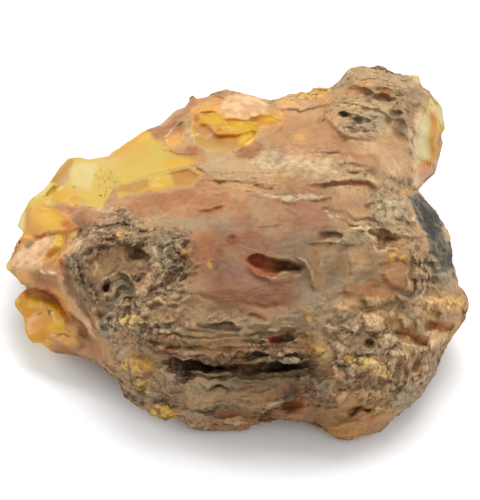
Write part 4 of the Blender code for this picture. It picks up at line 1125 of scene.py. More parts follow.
def paint_stains(zones: Zones) -> None:
    """Darker over the middle and low down, partly a brown film and partly painted shade; yellow
    specks; iron in the cracks; dark cracks, and painted shade in the deep crevice and under the
    crust's overhang.

    Args:
        zones: the zones that are laid.
    """
    # Darker over the middle, the low front and a spot on the horn: partly a brown film, partly
    # painted shade.
    zones.paint(Zone.GRIME, areas=[
        ((70, 262, 104, 236, 160, 226, 206, 232, 250, 206, 286, 176, 330, 178, 356, 232, 350, 282,
         322, 330, 330, 440, 200, 440, 214, 396, 196, 350, 170, 300, 100, 300), 20),
    ], ovals=[
        (268, 270, 90, 44, 6), (404, 110, 20, 24, 0, 0.6),
    ])
    # Painted shade under the crust's overhang, along the crevice, under the crown's band and at the
    # bottom; in the middle partly a brown film.
    zones.paint(Zone.SHADE, ovals=[
        (260, 266, 80, 40, 6), (360, 274, 54, 36), (82, 227, 13, 12), (58, 244, 16, 9, 30, 0.5),
        (120, 262, 32, 20, 14), (236, 364, 72, 10, 2), (352, 414, 50, 12, -4, 0.5),
        (250, 151, 14, 6, -12, 0.8), (292, 388, 16, 12, -20), (300, 232, 34, 18, 0, 0.5),
        (392, 212, 26, 16, 20, 0.5), (352, 386, 28, 12, 0, 0.7), (144, 366, 22, 14, 0, 0.7),
        (168, 344, 28, 11, 6), (308, 344, 14, 16, 0, 0.9), (164, 306, 20, 12, 0, 0.6),
        (108, 256, 26, 16, 14, 0.9), (296, 420, 52, 8, 4, 0.8), (98, 280, 36, 36, 0, 0.7),
        (262, 388, 50, 13, 0, 0.6), (176, 402, 26, 14, 10, 0.6), (350, 402, 42, 26, 0, 0.5),
        (318, 240, 26, 18, 0, 0.8), (408, 262, 56, 42, 0, 0.2), (426, 306, 34, 34, 0, 0.5),
        (370, 146, 34, 20, 10, 0.5), (418, 98, 10, 16, 0, 0.5), (214, 394, 40, 10, 0, 0.6),
        (352, 426, 42, 12, 0, 0.6), (374, 200, 30, 12, 10, 0.5), (236, 350, 80, 8, 0, 0.4),
    ])
    zones.paint(Zone.GOLD, ovals=[
        (132, 320, 13, 5, 0, 0.8), (138, 366, 14, 9, -10, 0.9), (144, 386, 11, 8, 10, 0.6),
        (310, 316, 4, 3), (316, 348, 7, 4, 10, 0.9), (394, 257, 10, 4, -5, 0.8),
        (211, 262, 5, 8, -20, 0.8), (160, 268, 5, 6, 0, 0.5), (374, 366, 20, 9, 20, 0.5),
        (438, 303, 14, 6, 10), (452, 300, 12, 8, 0, 0.7), (446, 233, 5, 7, 0, 0.3),
        (384, 373, 12, 5, 10, 0.7), (354, 360, 12, 6, 30, 0.9), (418, 362, 3, 16, 0, 0.5),
        (356, 102, 26, 5, 8, 0.45), (302, 96, 24, 4, -6, 0.6), (447, 305, 7, 5),
        (410, 192, 12, 4, 20, 0.6), (330, 88, 10, 3, 0, 0.6), (165, 412, 13, 8, 10, 0.9),
        (118, 234, 18, 4, 6, 0.5), (136, 246, 14, 4, 4, 0.5), (188, 252, 8, 5, 0, 0.5),
        (348, 114, 12, 5, 20, 0.5), (302, 137, 9, 5, 5, 0.35), (352, 436, 22, 5, 0, 0.4),
        (322, 356, 6, 10, 10, 0.5), (98, 300, 7, 5, 0, 0.4),
    ])
    zones.paint(Zone.RUST, areas=[
        ((278, 405, 288, 398, 301, 391, 305, 402, 302, 411, 288, 410), 3),
    ], lines=[
        ((292, 188, 330, 184, 352, 182, 372, 187, 392, 191), 2.6, 0.8),
        ((250, 185, 264, 187, 278, 187), 3, 0.5), ((236, 236, 250, 235, 264, 237), 1.2, 0.42),
        ((194, 209, 212, 212, 232, 208), 2.2, 0.7), ((246, 118, 262, 118, 281, 123), 3, 0.7),
        ((183, 147, 192, 151, 201, 151), 4, 0.7), ((201, 325, 220, 325, 238, 327), 1.4, 0.5),
        ((422, 324, 440, 326, 457, 327), 3.0, 0.9), ((392, 328, 410, 333, 428, 341), 3.0, 0.9),
        ((214, 413, 228, 413, 244, 412), 2.0, 0.6), ((27, 289, 44, 292, 58, 299, 69, 307), 3, 0.8),
        ((374, 90, 386, 92, 398, 97), 5, 0.6), ((329, 150, 345, 156, 368, 155, 388, 174), 2.4, 0.7),
        ((213, 93, 220, 93, 227, 97), 1.6, 0.9), ((248, 119, 262, 114, 282, 119), 1.6),
        ((163, 347, 172, 349, 180, 351), 3, 0.9),
    ], ovals=[
        (262, 264, 16, 9, 10), (274, 338, 8, 5, -5), (229, 242, 8, 6, 20, 0.35),
        (218, 252, 5, 5, 0, 0.35), (182, 255, 8, 3, 0, 0.6), (382, 238, 10, 6, 10, 0.6),
        (357, 164, 30, 10, 8, 0.25), (148, 280, 6, 16, 25, 0.35), (332, 372, 12, 9, 0, 0.35),
        (170, 348, 8, 3, 0, 0.8), (329, 247, 5, 6, 0, 0.4), (371, 287, 6, 4, 0, 0.4),
    ])
    # Dark cracks, holes and specks; the lines along the front's deep crevice and under the crust's
    # overhang are painted shade, and the broad faint ovals just darken those places.
    zones.paint(Zone.DARK, lines=[
        ((162, 357, 186, 360, 208, 364, 232, 369), 3.2), ((178, 360, 200, 363), 4.0),
        ((258, 370, 284, 367, 304, 362, 318, 357), 2.8),
        ((232, 358, 250, 355, 276, 357, 292, 352), 1.8, 0.9),
        ((244, 365, 266, 362, 296, 359), 1.0, 0.8), ((187, 257, 175, 268, 163, 288), 2.6, 0.5),
        ((153, 143, 162, 148, 180, 152, 202, 153), 1.1, 0.35),
        ((202, 322, 220, 322, 237, 325), 1.3, 0.9), ((245, 312, 256, 314, 265, 318), 1.2, 0.6),
        ((324, 118, 334, 130, 345, 143), 4, 0.35), ((210, 386, 220, 388, 230, 390), 2, 0.7),
        ((56, 256, 66, 274, 74, 292, 86, 312, 98, 338), 4, 0.5),
        ((100, 296, 108, 284, 120, 277, 130, 281, 132, 290), 1.8, 0.8),
        ((106, 304, 114, 296, 126, 290), 1.5, 0.7),
        ((74, 256, 82, 264, 84, 280, 92, 296), 2.2, 0.8),
        ((124, 249, 140, 250, 149, 257), 3.5, 0.7), ((160, 280, 166, 287, 163, 292), 4, 0.7),
        ((166, 246, 172, 254, 184, 262), 2.2, 0.7), ((62, 250, 70, 262, 72, 272), 2, 0.6),
        ((334, 214, 352, 218, 372, 219, 393, 221), 2.4, 0.55),
        ((393, 291, 402, 293, 412, 297), 2.4, 0.8), ((408, 252, 409, 264, 411, 278), 2.2, 0.7),
        ((322, 234, 334, 235, 343, 236), 2.4, 0.7),
        ((427, 252, 436, 249, 446, 254, 450, 262), 1.8, 0.9),
        ((429, 266, 438, 270, 450, 268), 1.6, 0.8), ((400, 350, 397, 370, 394, 390), 1.2, 0.5),
        ((408, 350, 405, 372, 402, 390), 1.2, 0.5), ((416, 352, 412, 372, 409, 388), 1.2, 0.5),
        ((186, 410, 212, 410, 226, 406), 1.6, 0.8), ((196, 383, 206, 386, 216, 385), 1.6, 0.6),
        ((170, 384, 178, 390, 190, 392), 2.4, 0.6), ((246, 392, 262, 390, 278, 386), 1.4, 0.6),
        ((228, 400, 244, 401, 262, 399), 1.4, 0.5), ((344, 262, 362, 264, 384, 262), 1.4, 0.5),
        ((350, 280, 368, 282, 386, 280), 1.4, 0.5), ((352, 136, 366, 150, 378, 166), 3.0, 0.3),
        ((342, 413, 358, 409, 374, 413), 2.0, 0.8), ((318, 405, 330, 407, 342, 405), 1.5, 0.7),
        ((94, 216, 110, 212, 128, 222, 150, 228), 1.5, 0.6),
        ((100, 330, 110, 326, 120, 332), 2, 0.6),
    ], ovals=[
        (138, 256, 9, 5, 12, 0.7), (107, 287, 4, 4), (290, 268, 15, 5, 14, 0.45),
        (27, 245, 7, 6, 0, 0.5), (346, 112, 6, 4, 20, 0.8), (357, 119, 7, 4, 10, 0.8),
        (399, 114, 5, 4, 0, 0.8), (370, 342, 4, 3, 0, 0.9), (371, 94, 6, 6, 0, 0.5),
        (402, 130, 6, 14, -28, 0.5), (431, 106, 3, 8, 15, 0.5), (221, 380, 6, 3, 0, 0.6),
        (360, 410, 9, 3, 10, 0.6), (386, 241, 6, 4, 0, 0.8), (200, 170, 4, 3, 0, 0.5),
        (148, 372, 4, 4, 0, 0.6), (142, 392, 8, 3, 30, 0.6), (184, 346, 22, 8, 4, 0.42),
        (292, 388, 14, 10, -10, 0.42), (162, 352, 16, 6, 10, 0.42), (226, 268, 18, 13, 0, 0.34),
        (268, 384, 26, 8, 0, 0.3),
    ])


def paint_hidden(zones: Zones) -> None:
    """The hidden side: clear behind the windows, milky and crusted elsewhere.

    Args:
        zones: the zones that are laid.
    """
    zones.paint(Zone.WINDOW, areas=[
        ((30, 190, 66, 150, 130, 130, 196, 90, 214, 130, 190, 186, 120, 226, 60, 236, 20, 226), 14),
        ((14, 300, 60, 300, 74, 330, 50, 350, 20, 334), 10, 0.9),
        ((424, 84, 450, 110, 446, 160, 436, 200, 404, 196, 408, 150), 10, 0.9),
    ], ovals=[
        (262, 128, 30, 18, 5, 0.7),
    ])
    zones.paint(Zone.HONEY, areas=[
        ((418, 104, 452, 112, 448, 160, 436, 200, 404, 196, 404, 150), 12, 0.75),
        ((60, 190, 190, 110, 220, 150, 120, 240, 40, 240), 20, 0.7),
    ])
    zones.paint(Zone.ORANGE, ovals=[
        (430, 184, 22, 10, 0, 0.7), (120, 200, 30, 14, -25, 0.7), (262, 140, 30, 12, 5, 0.7),
    ])
    zones.paint(Zone.ROSE, areas=[
        ((196, 96, 340, 84, 380, 140, 300, 190, 200, 190), 30, 0.8),
    ], ovals=[
        (60, 290, 40, 30, 0, 0.8),
    ])
    zones.paint(Zone.CRUST, areas=[
        ((110, 350, 250, 380, 400, 370, 440, 340, 420, 420, 120, 420), 20, 0.8),
    ], ovals=[
        (372, 120, 44, 46), (430, 270, 40, 70, 0, 0.9), (300, 170, 40, 24, 0, 0.8),
    ])
    zones.paint(Zone.GREY, ovals=[
        (340, 150, 30, 20, 0, 0.6), (440, 240, 16, 30, 0, 0.6),
    ])
    zones.oval(Zone.RUST, 250, 166, 26, 5, 4, 0.7)
    zones.paint(Zone.GOLD, ovals=[
        (320, 112, 16, 8, 0, 0.8), (440, 300, 14, 8, 0, 0.8),
    ])


@dataclass
class Lump:
    """The lump of amber: its fine mesh, its zones of colour and its material.

    Attributes:
        sheet: the leaning sheet that it is drawn on.
        finish: its material's finish.
        grid: squares along each edge of the starting cube.
        front_share: angle from the pole of the upper skin down to the outline, in radians.
        rim: drawing units over which the upper skin rounds off at the outline.
        stray: drawing units that lines and pits stray from where they are drawn.
        stray_size: drawing units from one stray to the next.
        slant: how far the hidden side falls back, as a share of the rim's height.
        ragged: drawing units by which the crust's outline is ragged.
    """

    sheet: Sheet = field(default_factory=Sheet)
    finish: RawAmber = field(default_factory=lambda: RawAmber())
    grid: int = 127
    front_share: float = math.radians(124)
    rim: float = 17.0
    stray: float = 2.5
    stray_size: Point = (26.0, 26.0)
    slant: float = 2.75
    ragged: float = 2.4
    x: Array = field(init=False)
    y: Array = field(init=False)
    away: Array = field(init=False)
    rim_height: Array = field(init=False)
    faces_up: Array = field(init=False)
    quads: Array = field(init=False)
    points: Array = field(init=False)
    zones: Zones = field(init=False)

    def outline_reach(self, angle: Array) -> tuple[Array, Array]:
        """Find where rays from the hub meet the outline.

        Args:
            angle: the rays' angles, in radians.

        Returns:
            Distances on the sheet, and rim heights in millimetres.
        """
        points = np.array(OUTLINE, float)
        turns = np.arctan2(points[:, 1] - self.sheet.hub[1], points[:, 0] - self.sheet.hub[0])
        points = points[np.argsort(turns)]
        turns = np.sort(turns)
        after = np.searchsorted(turns, angle) % len(turns)
        a, b = points[after - 1], points[after]
        ax, ay = a[:, 0] - self.sheet.hub[0], a[:, 1] - self.sheet.hub[1]
        dx, dy = b[:, 0] - a[:, 0], b[:, 1] - a[:, 1]
        ray_x, ray_y = np.cos(angle), np.sin(angle)
        cross = ray_x * dy - ray_y * dx
        share = (ax * ray_y - ay * ray_x) / cross
        return (ax * dy - ay * dx) / cross, a[:, Z_AXIS] + share * (b[:, Z_AXIS] - a[:, Z_AXIS])

    def eased_reach(self, angle: Array) -> Array:
        """Find the outline's distance from the hub with its small steps smoothed away.

        Args:
            angle: angles about the hub, in radians.

        Returns:
            Distances on the sheet.
        """
        samples, width = 720, 24
        turns = np.linspace(-math.pi, math.pi, samples, endpoint=False)
        reach = self.outline_reach(turns)[0]
        bell = np.exp(-((np.arange(-3 * width, 3 * width + 1) / width) ** 2))
        padded = np.concatenate((reach[-3 * width:], reach, reach[: 3 * width]))
        eased = np.convolve(padded, bell / bell.sum(), mode="valid")
        return np.interp(angle, turns, eased, period=2 * math.pi)

    def lay_on_sheet(self) -> None:
        """Lay a sphere's points over the outline, front and back."""
        directions, self.quads = cube_sphere(self.grid)
        angle = np.arctan2(-directions[:, 1], directions[:, 0])
        lean = np.arccos(np.clip(directions[:, Z_AXIS], -1.0, 1.0))
        self.faces_up = lean <= self.front_share
        back = (math.pi - lean) / (math.pi - self.front_share)
        ring = np.sin(np.where(self.faces_up, lean / self.front_share, back) * math.pi / 2.0)
        reach, self.rim_height = self.outline_reach(angle)
        inner = self.eased_reach(angle)
        flakes = spread_noise(directions * (26.0, 26.0, 6.0), 3)
        reach += self.ragged * flakes * rough_share(*self.outline_place(angle, reach))
        reach = inner + (reach - inner) * ring**5
        self.x = self.sheet.hub[0] + reach * ring * np.cos(angle)
        self.y = self.sheet.hub[1] + reach * ring * np.sin(angle)
        self.away = inner * (1.0 - ring)

    def outline_place(self, angle: Array, reach: Array) -> tuple[Array, Array]:
        """Turn angles and distances from the hub into places on the sheet."""
        return self.sheet.hub[0] + reach * np.cos(angle), self.sheet.hub[1] + reach * np.sin(angle)

    def strayed(self, fine: float) -> tuple[Array, Array]:
        """Where each place lies once lines and pits have strayed.

        Args:
            fine: share of the small strays that roughen an edge.

        Returns:
            Places to the right and down the sheet, in drawing units.
        """
        moved = []
        for start, layer in ((self.x, 1.5), (self.y, 6.5)):
            shift = self.stray * min(1.0, 2 * fine) * wander(self.x, self.y, self.stray_size, layer)
            for share, size in ((3.4, 13.0), (2.4, 7.0), (1.0, 3.6)):
                fold = wander(self.x, self.y, (size * 1.4, size), layer + size)
                shift = shift + fine * share * fold
            moved.append(start + shift)
        return moved[0], moved[1]

    def heights(self) -> Array:
        """Work out how high each point lies, on the upper skin or on the hidden side.

        Returns:
            Heights in millimetres.
        """
        x, y = self.x, self.y
        depth = np.clip(inset(np.array(OUTLINE, float)[:, :2], x, y), 0.0, None)
        rough = rough_share(x, y)
        upper = Skin(*self.strayed(0.8), body_heights(x, y))
        upper.terraces(flow(x, y), 23.0, 1.25, 0.22 + 0.78 * rough, 3.5)
        for form in MAIN_FORMS:
            form(upper)
        broken = Skin(*self.strayed(0.15), upper.z)
        windows(broken)
        fine_windows(broken)
        upper.z = broken.z
        upper.x, upper.y = self.strayed(1.0)
        small = 0.16 + 0.84 * rough
        for tilt, spacing, lift, layer, waver, sizes in (
            (0.0, 11.0, 0.38, 21.5, 2.6, ((34.0, 15.0), (30.0, 20.0))),
            (0.3, 7.0, 0.3, 31.5, 3.4, ((15.0, 9.0), (22.0, 16.0))),
            (-0.4, 6.0, 0.24, 61.5, 3.0, ((12.0, 8.0), (18.0, 14.0))),
        ):
            upper.terraces(flow(x, y) + tilt * x, spacing, lift, small, layer, waver, sizes)
        for form in FINE_FORMS:
            form(upper)
        crust_share = self.zones.shares[Zone.CRUST]
        for wide, tall, lift in ((34.0, 17.0, 0.95), (15.0, 9.0, 0.55), (7.5, 5.0, 0.2)):
            spots = zip(upper.x / wide, upper.y / tall, np.full(len(x), wide))
            crests = np.array([noise.ridged_multi_fractal(spot, 0.9, 2.1, 3, 1.0, 2.0)
                               for spot in spots])
            upper.z = upper.z + lift * (crests - crests.mean()) * (0.05 + crust_share)
        turn = np.sqrt(np.clip(1.0 - np.clip(1.0 - depth / self.rim, 0.0, 1.0) ** 2, 0.0, 1.0))
        raised = np.maximum(upper.z, self.rim_height) - self.rim_height
        front_height = self.rim_height + raised * turn
        fall = np.clip(self.away / (self.slant * self.rim_height), 0.0, 1.0)
        quick_turn = 0.2 * np.sqrt(1.0 - (1.0 - fall) ** 2)
        plain = self.rim_height * (1.0 - 0.8 * fall - quick_turn)
        under = Skin(*self.strayed(0.5), plain)
        down = -plain * MM / self.sheet.unit
        under.terraces(down, 38.0, 1.1, 1.0, 9.5)
        hidden_side(under)
        under.terraces(down, 13.0, 0.5, 1.0, 41.5, 1.8, ((46.0, 17.0), (40.0, 26.0)))
        level = plain + (under.z - plain) * smooth(self.away / 12.0) * smooth((1.0 - fall) / 0.2)
        return np.where(self.faces_up, front_height, np.clip(level, 0.0, None))

    def paint(self) -> None:
        """Work out every zone's share at each point."""
        x, y = self.strayed(1.0)
        crisp, hidden = Zones(*self.strayed(0.15)), Zones(x, y)
        paint_clear(crisp)
        top = Zones(x, y, crisp.shares)
        for brush in (paint_skin, paint_crust, paint_stains):
            brush(top)
        paint_hidden(hidden)
        self.zones = Zones(x, y)
        nothing = np.zeros(len(x))
        for zone in Zone:
            shares = (part.shares.get(zone, nothing) for part in (top, hidden))
            self.zones.shares[zone] = np.where(self.faces_up, *shares)
        scattered = rough_share(x, y) * np.clip(0.42 + 0.5 * wander(x, y, (52.0, 30.0), 51.5), 0, 1)
        scattered = np.where(self.faces_up, scattered, 0.4)
        clear = np.clip(1.0 - 1.4 * self.zones.shares[Zone.WINDOW], 0.0, 1.0)
        self.zones.keep(Zone.CRUST, scattered)
        patchy = np.clip(0.9 + 0.8 * wander(x, y, (24.0, 18.0), 81.5), 0.5, 1)
        self.zones.shares[Zone.CRUST] *= patchy
        self.zones.keep(Zone.CRUST, 0.8 * self.zones.shares[Zone.CHARCOAL])
        calm = np.where(self.faces_up, 0.45 + 0.55 * rough_share(x, y), 1.0)
        self.zones.shares[Zone.CRUST] *= clear * calm

    def neighbour_mean(self, values: Array, rounds: int) -> Array:
        """Average values with their neighbours' over and over.

        Args:
            values: one value, or one row of values, for each point.
            rounds: how many times.

        Returns:
            The averaged values, in the same shape.
        """
        pairs = np.concatenate([self.quads[:, [k, (k + 1) % 4]] for k in range(4)])
        count = np.bincount(pairs[:, 0], minlength=len(values))
        columns = values.reshape(len(values), -1).copy()
        for _ in range(rounds):
            for k in range(columns.shape[1]):
                total = np.bincount(pairs[:, 0], columns[pairs[:, 1], k], len(values))
                columns[:, k] = 0.5 * (columns[:, k] + total / count)
        return columns.reshape(values.shape)

    def normals(self) -> Array:
        """Find the normals at the points from the squares around each.

        Returns:
            Unit normals, one row each.
        """
        a, b, c, d = (self.points[self.quads[:, corner]] for corner in range(4))
        across = np.cross(c - a, d - b)
        total = np.zeros_like(self.points)
        for corner in range(4):
            for axis in range(3):
                total[:, axis] += np.bincount(
                    self.quads[:, corner], across[:, axis], len(self.points))
        return total / np.maximum(np.linalg.norm(total, axis=1), 1e-12)[:, None]

    def roughen(self) -> None:
        """Push points in and out along their normals: broad grain, then crumbs on the crust."""
        share = np.clip(self.zones.shares[Zone.CRUST], 0.0, 1.0)
        normals = self.normals()
        coarse = spread_noise(self.points * (130.0, 130.0, 190.0), 3)
        small = spread_noise(self.points * (500.0, 700.0, 700.0), 3)
        clear = self.zones.shares[Zone.WINDOW] * self.faces_up
        push = 0.55 * (1.0 - 0.85 * clear) * coarse + (0.05 - 0.04 * clear + 0.2 * share) * small
        for scale, depth in ((230.0, 0.46), (480.0, 0.3), (900.0, 0.12)):
            warp = self.points + coarse[:, None] * 1.5 * MM + small[:, None] * 0.5 * MM
            lumps = crumbs(warp * (scale, 1.6 * scale, 1.6 * scale))
            push += depth * (0.04 - 0.04 * clear + share) * (lumps - lumps.mean())
        push *= MM * np.clip(self.points[:, Z_AXIS] / (3 * MM), 0.0, 1.0)
        self.points = self.points + normals * push[:, None]
        self.points[:, Z_AXIS] = np.clip(self.points[:, Z_AXIS], 0.0, None)

    def find_hollows(self) -> None:
        """Keep how deep each point lies below the skin around it, as a share about 0.5."""
        normals = self.normals()
        for zone, rounds, depth in ((Zone.HOLLOW, 14, 1.6), (Zone.CREASE, 3, 0.5)):
            sunk = ((self.neighbour_mean(self.points, rounds) - self.points) * normals).sum(axis=1)
            self.zones.shares[zone] = np.clip(0.5 + sunk / (depth * MM), 0.0, 1.0)
        level = flow(self.x, self.y) / 500.0
        self.zones.shares[Zone.GRAIN] = level

    def build(self) -> bpy.types.Object:
        """Build the lump's mesh object, with each zone as an attribute.

        Returns:
            The object.
        """
        self.lay_on_sheet()
        self.paint()
        self.points = self.sheet.stand_up(self.x, self.y, self.heights())
        self.roughen()
        self.find_hollows()
        mesh = bpy.data.meshes.new("amber_lump")
        mesh.from_pydata(self.points.tolist(), [], self.quads.tolist())
        for zone, share in self.zones.shares.items():
            layer = mesh.attributes.new(zone.value, "FLOAT", "POINT")
            layer.data.foreach_set("value", share.astype(np.float32))
        mesh.shade_smooth()
        lump = bpy.data.objects.new("amber_lump", mesh)
        bpy.context.collection.objects.link(lump)
        return lump

    def dress(self, lump: bpy.types.Object) -> None:
        """Give the lump its material."""
        lump.data.materials.append(self.finish.material())


def spread_noise(spots: Array, octaves: int) -> Array:
    """Fractal noise at each spot, about -1 to 1."""
    return np.array([noise.fractal(spot, 0.9, 2.1, octaves) for spot in spots.tolist()])


def crumbs(spots: Array) -> Array:
    """Rounded crumbs with creases between them, 1 at a crumb's middle."""
    nearest = (noise.voronoi(spot)[0] for spot in spots.tolist())
    return np.array([1.0 - (far[0] / far[1]) ** 2 for far in nearest])


def rough_share(x: Array, y: Array) -> Array:
    """How rough the skin is: 0 on smooth stretches, 1 on the weathered crust.

    Args:
        x: places to the right, in drawing units.
        y: places down the sheet, in drawing units.

    Returns:
        One share for each place.
    """
    edge = 12.0
    rough = np.ones(x.shape)
    for corners in SMOOTH_SKIN:
        inside = inset(np.reshape(corners, (-1, 2)), x, y)
        rough = np.minimum(rough, 1 - smooth(inside / edge + 0.5))
    return rough


def body_heights(x: Array, y: Array) -> Array:
    """The smooth body: a thin plate bent through the heights of BODY.

    Args:
        x: places to the right, in drawing units.
        y: places down the sheet, in drawing units.

    Returns:
        Heights in millimetres.
    """
    knots = np.array(BODY, float)
    scale = 100.0
    kx, ky = knots[:, 0] / scale, knots[:, 1] / scale

    def bend(dx: Array, dy: Array) -> Array:
        """How much a knot that far off bends the plate."""
        square = dx * dx + dy * dy
        return square * np.log(square + 1e-12)

    flat = np.column_stack((np.ones(len(knots)), kx, ky))
    stiff = bend(kx[:, None] - kx, ky[:, None] - ky) + 0.01 * np.eye(len(knots))
    system = np.block([[stiff, flat], [flat.T, np.zeros((3, 3))]])
    weights = np.linalg.solve(system, np.concatenate((knots[:, Z_AXIS], np.zeros(3))))
    heights = weights[-3] + weights[-2] * x / scale + weights[-1] * y / scale
    for weight, knot_x, knot_y in zip(weights, kx, ky):
        heights = heights + weight * bend(x / scale - knot_x, y / scale - knot_y)
    return heights


def cube_sphere(squares: int) -> tuple[Array, Array]:
    """Push a cube's gridded surface out to a unit sphere.

    Args:
        squares: squares along each edge of the cube.

    Returns:
        Unit directions, and squares as rows of four point numbers.
    """
    steps = np.arange(squares + 1)
    p, q = (grid.ravel() for grid in np.meshgrid(steps, steps, indexing="ij"))
    sides = []
    for axis in range(3):
        for level in (0, squares):
            side = np.empty((len(p), 3), int)
            side[:, axis] = level
            side[:, (axis + 1) % 3] = p if level else q
            side[:, (axis + 2) % 3] = q if level else p
            sides.append(side)
    lattice, where = np.unique(np.concatenate(sides), axis=0, return_inverse=True)
    where = where.reshape(len(sides), squares + 1, squares + 1)
    loops = (where[:, :-1, :-1], where[:, 1:, :-1], where[:, 1:, 1:], where[:, :-1, 1:])
    quads = np.stack([loop.ravel() for loop in loops], axis=1)
    warped = np.tan((lattice / squares * 2.0 - 1.0) * math.pi / 4.0)
    return warped / np.linalg.norm(warped, axis=1)[:, None], quads


Colour = tuple[float, float, float, float]


def tint(red: int, green: int, blue: int) -> Colour:
    """Turn a colour as a screen shows it, 0 to 255, into the renderer's linear values."""
    linear = [((part / 255 + 0.055) / 1.055) ** 2.4 for part in (red, green, blue)]
    return (*linear, 1.0)


@dataclass(frozen=True)
class Signal:
    """A socket of a node tree, with arithmetic that adds Math nodes."""

    bench: Bench
    socket: bpy.types.NodeSocket

    def math(self, operation: str, *values: Signal | float) -> Signal:
        """Add a Math node over the values given."""
        return self.bench.node("ShaderNodeMath", {"operation": operation}, dict(enumerate(values)))

    def __add__(self, other: Signal | float) -> Signal:
        """Add."""
        return self.math("ADD", self, other)

    __radd__ = __add__

    def __sub__(self, other: Signal | float) -> Signal:
        """Subtract."""
        return self.math("SUBTRACT", self, other)

    def __rsub__(self, other: float) -> Signal:
        """Subtract from a number."""
        return self.math("SUBTRACT", other, self)

    def __mul__(self, other: Signal | float) -> Signal:
        """Multiply."""
        return self.math("MULTIPLY", self, other)

    __rmul__ = __mul__

    def __or__(self, other: Signal) -> Signal:
        """Take the larger value."""
        return self.math("MAXIMUM", self, other)

    def step(self, low: float, high: float) -> Signal:
        """Ease from 0 at low to 1 at high; a low above high falls instead.

        Args:
            low: the value that gives 0.
            high: the value that gives 1.

        Returns:
            The eased value.
        """
        settings = {"interpolation_type": "SMOOTHSTEP"}
        if low > high:
            return 1.0 - self.step(high, low)
        return self.bench.node("ShaderNodeMapRange", settings, {0: self, 1: low, 2: high})


@dataclass
class Bench:
    """A material, or a world, and the one way in which nodes are added to it."""

    owner: bpy.types.Material | bpy.types.World

    @classmethod
    def start(cls, owner: bpy.types.Material | bpy.types.World) -> Bench:
        """Clear a new material or world for its nodes.

        Args:
            owner: the material or world.

        Returns:
            Its bench.
        """
        owner.use_nodes = True
        owner.node_tree.nodes.clear()
        return cls(owner)

    def node(self, kind: str, settings: dict[str, Any] | None = None,
             sockets: dict[str | int, Any] | None = None, output: str | int = 0) -> Signal | None:
        """Add a node.

        Args:
            kind: the node's type.
            settings: its properties, which are set before its sockets.
            sockets: a value or a signal for each input, by name or number.
            output: the output wanted, by name or number.

        Returns:
            The output as a signal, or None from a node that has no output.
        """
        made = self.owner.node_tree.nodes.new(kind)
        for name, value in (settings or {}).items():
            setattr(made, name, value)
        for key, value in (sockets or {}).items():
            if isinstance(value, Signal):
                self.owner.node_tree.links.new(value.socket, made.inputs[key])
            else:
                made.inputs[key].default_value = value
        return Signal(self, made.outputs[output]) if made.outputs else None

    def zone(self, zone: Zone) -> Signal:
        """Read a zone's share from the mesh."""
        settings = {"attribute_type": "GEOMETRY", "attribute_name": zone.value}
        return self.node("ShaderNodeAttribute", settings, output="Fac")

    def noise(self, scale: float, detail: float = 3.0, place: Signal | None = None,
              distortion: float = 0.0) -> Signal:
        """Add noise, 0 to 1.

        Args:
            scale: how many lumps there are to a metre.
            detail: how many finer layers it has.
            place: where it is read, or None for the object's own coordinates.
            distortion: how far it is swirled.

        Returns:
            The noise.
        """
        place = place or self.node("ShaderNodeTexCoord", output="Object")
        sockets = {"Vector": place, "Scale": scale, "Detail": detail, "Distortion": distortion}
        return self.node("ShaderNodeTexNoise", {}, sockets, output="Fac")

    def stretched(self, along: tuple[float, float, float]) -> Signal:
        """Object coordinates stretched by a factor along each axis."""
        place = self.node("ShaderNodeTexCoord", output="Object")
        return self.node("ShaderNodeVectorMath", {"operation": "MULTIPLY"}, {0: place, 1: along})

    def mix(self, share: Signal | float, low: Signal | Colour, high: Signal | Colour,
            blend: str = "MIX") -> Signal:
        """Mix two colours."""
        settings = {"data_type": "RGBA", "blend_type": blend, "clamp_factor": True}
        return self.node("ShaderNodeMix", settings, {0: share, 6: low, 7: high}, output=2)

    def patch(self, zone: Zone, waver: Signal, spread: float = 0.9, edge: float = 0.6) -> Signal:
        """Break a zone's edge up with noise.

        Args:
            zone: the zone.
            waver: noise about 0.5.
            spread: how far the noise moves the edge, as a share.
            edge: how soft the edge is, as a share.

        Returns:
            A mask, 0 to 1.
        """
        share = self.zone(zone)
        value = share + (waver - 0.5) * spread
        return value.step(0.5 - edge / 2, 0.5 + edge / 2) * share.step(0.0, 0.25)


@dataclass(frozen=True)
class Textures:
    """Noise that both finishes share."""

    broad: Signal
    middle: Signal
    fine: Signal
    specks: Signal
    strata: Signal
    cracks: Signal
    ragged: Signal
    hues: Signal

    @classmethod
    def on(cls, bench: Bench) -> Textures:
        """Lay the noise out on a bench.

        Args:
            bench: the material's bench.

        Returns:
            The textures.
        """
        broad = bench.noise(45.0, 4.0, distortion=0.5)
        middle = bench.noise(170.0, 5.0, distortion=0.4)
        fine = bench.noise(620.0, 5.0)
        level = bench.zone(Zone.GRAIN) * 60.0 + broad * 6.0 + middle * 2.0
        strata = bench.node("ShaderNodeTexNoise", {"noise_dimensions": "1D"},
                            {"W": level, "Scale": 1.0, "Detail": 3.0, "Roughness": 0.6}, "Fac")
        place = bench.node("ShaderNodeTexCoord", output="Object")
        shift = bench.node("ShaderNodeTexNoise", {},
                           {"Vector": place, "Scale": 120.0, "Detail": 3.0}, "Color")
        shift = bench.node("ShaderNodeVectorMath", {"operation": "SCALE"},
                           {0: shift, "Scale": 0.012})
        warped = bench.node("ShaderNodeVectorMath", {"operation": "ADD"}, {0: place, 1: shift})
        cracks = bench.node("ShaderNodeTexVoronoi", {"feature": "DISTANCE_TO_EDGE"},
                            {"Vector": warped, "Scale": 140.0})
        ragged = middle * 0.65 + fine * 0.35
        specks, hues = bench.noise(1300.0, 3.0), bench.noise(260.0, 4.0, distortion=0.6)
        return cls(broad, middle, fine, specks, strata, cracks, ragged, hues)


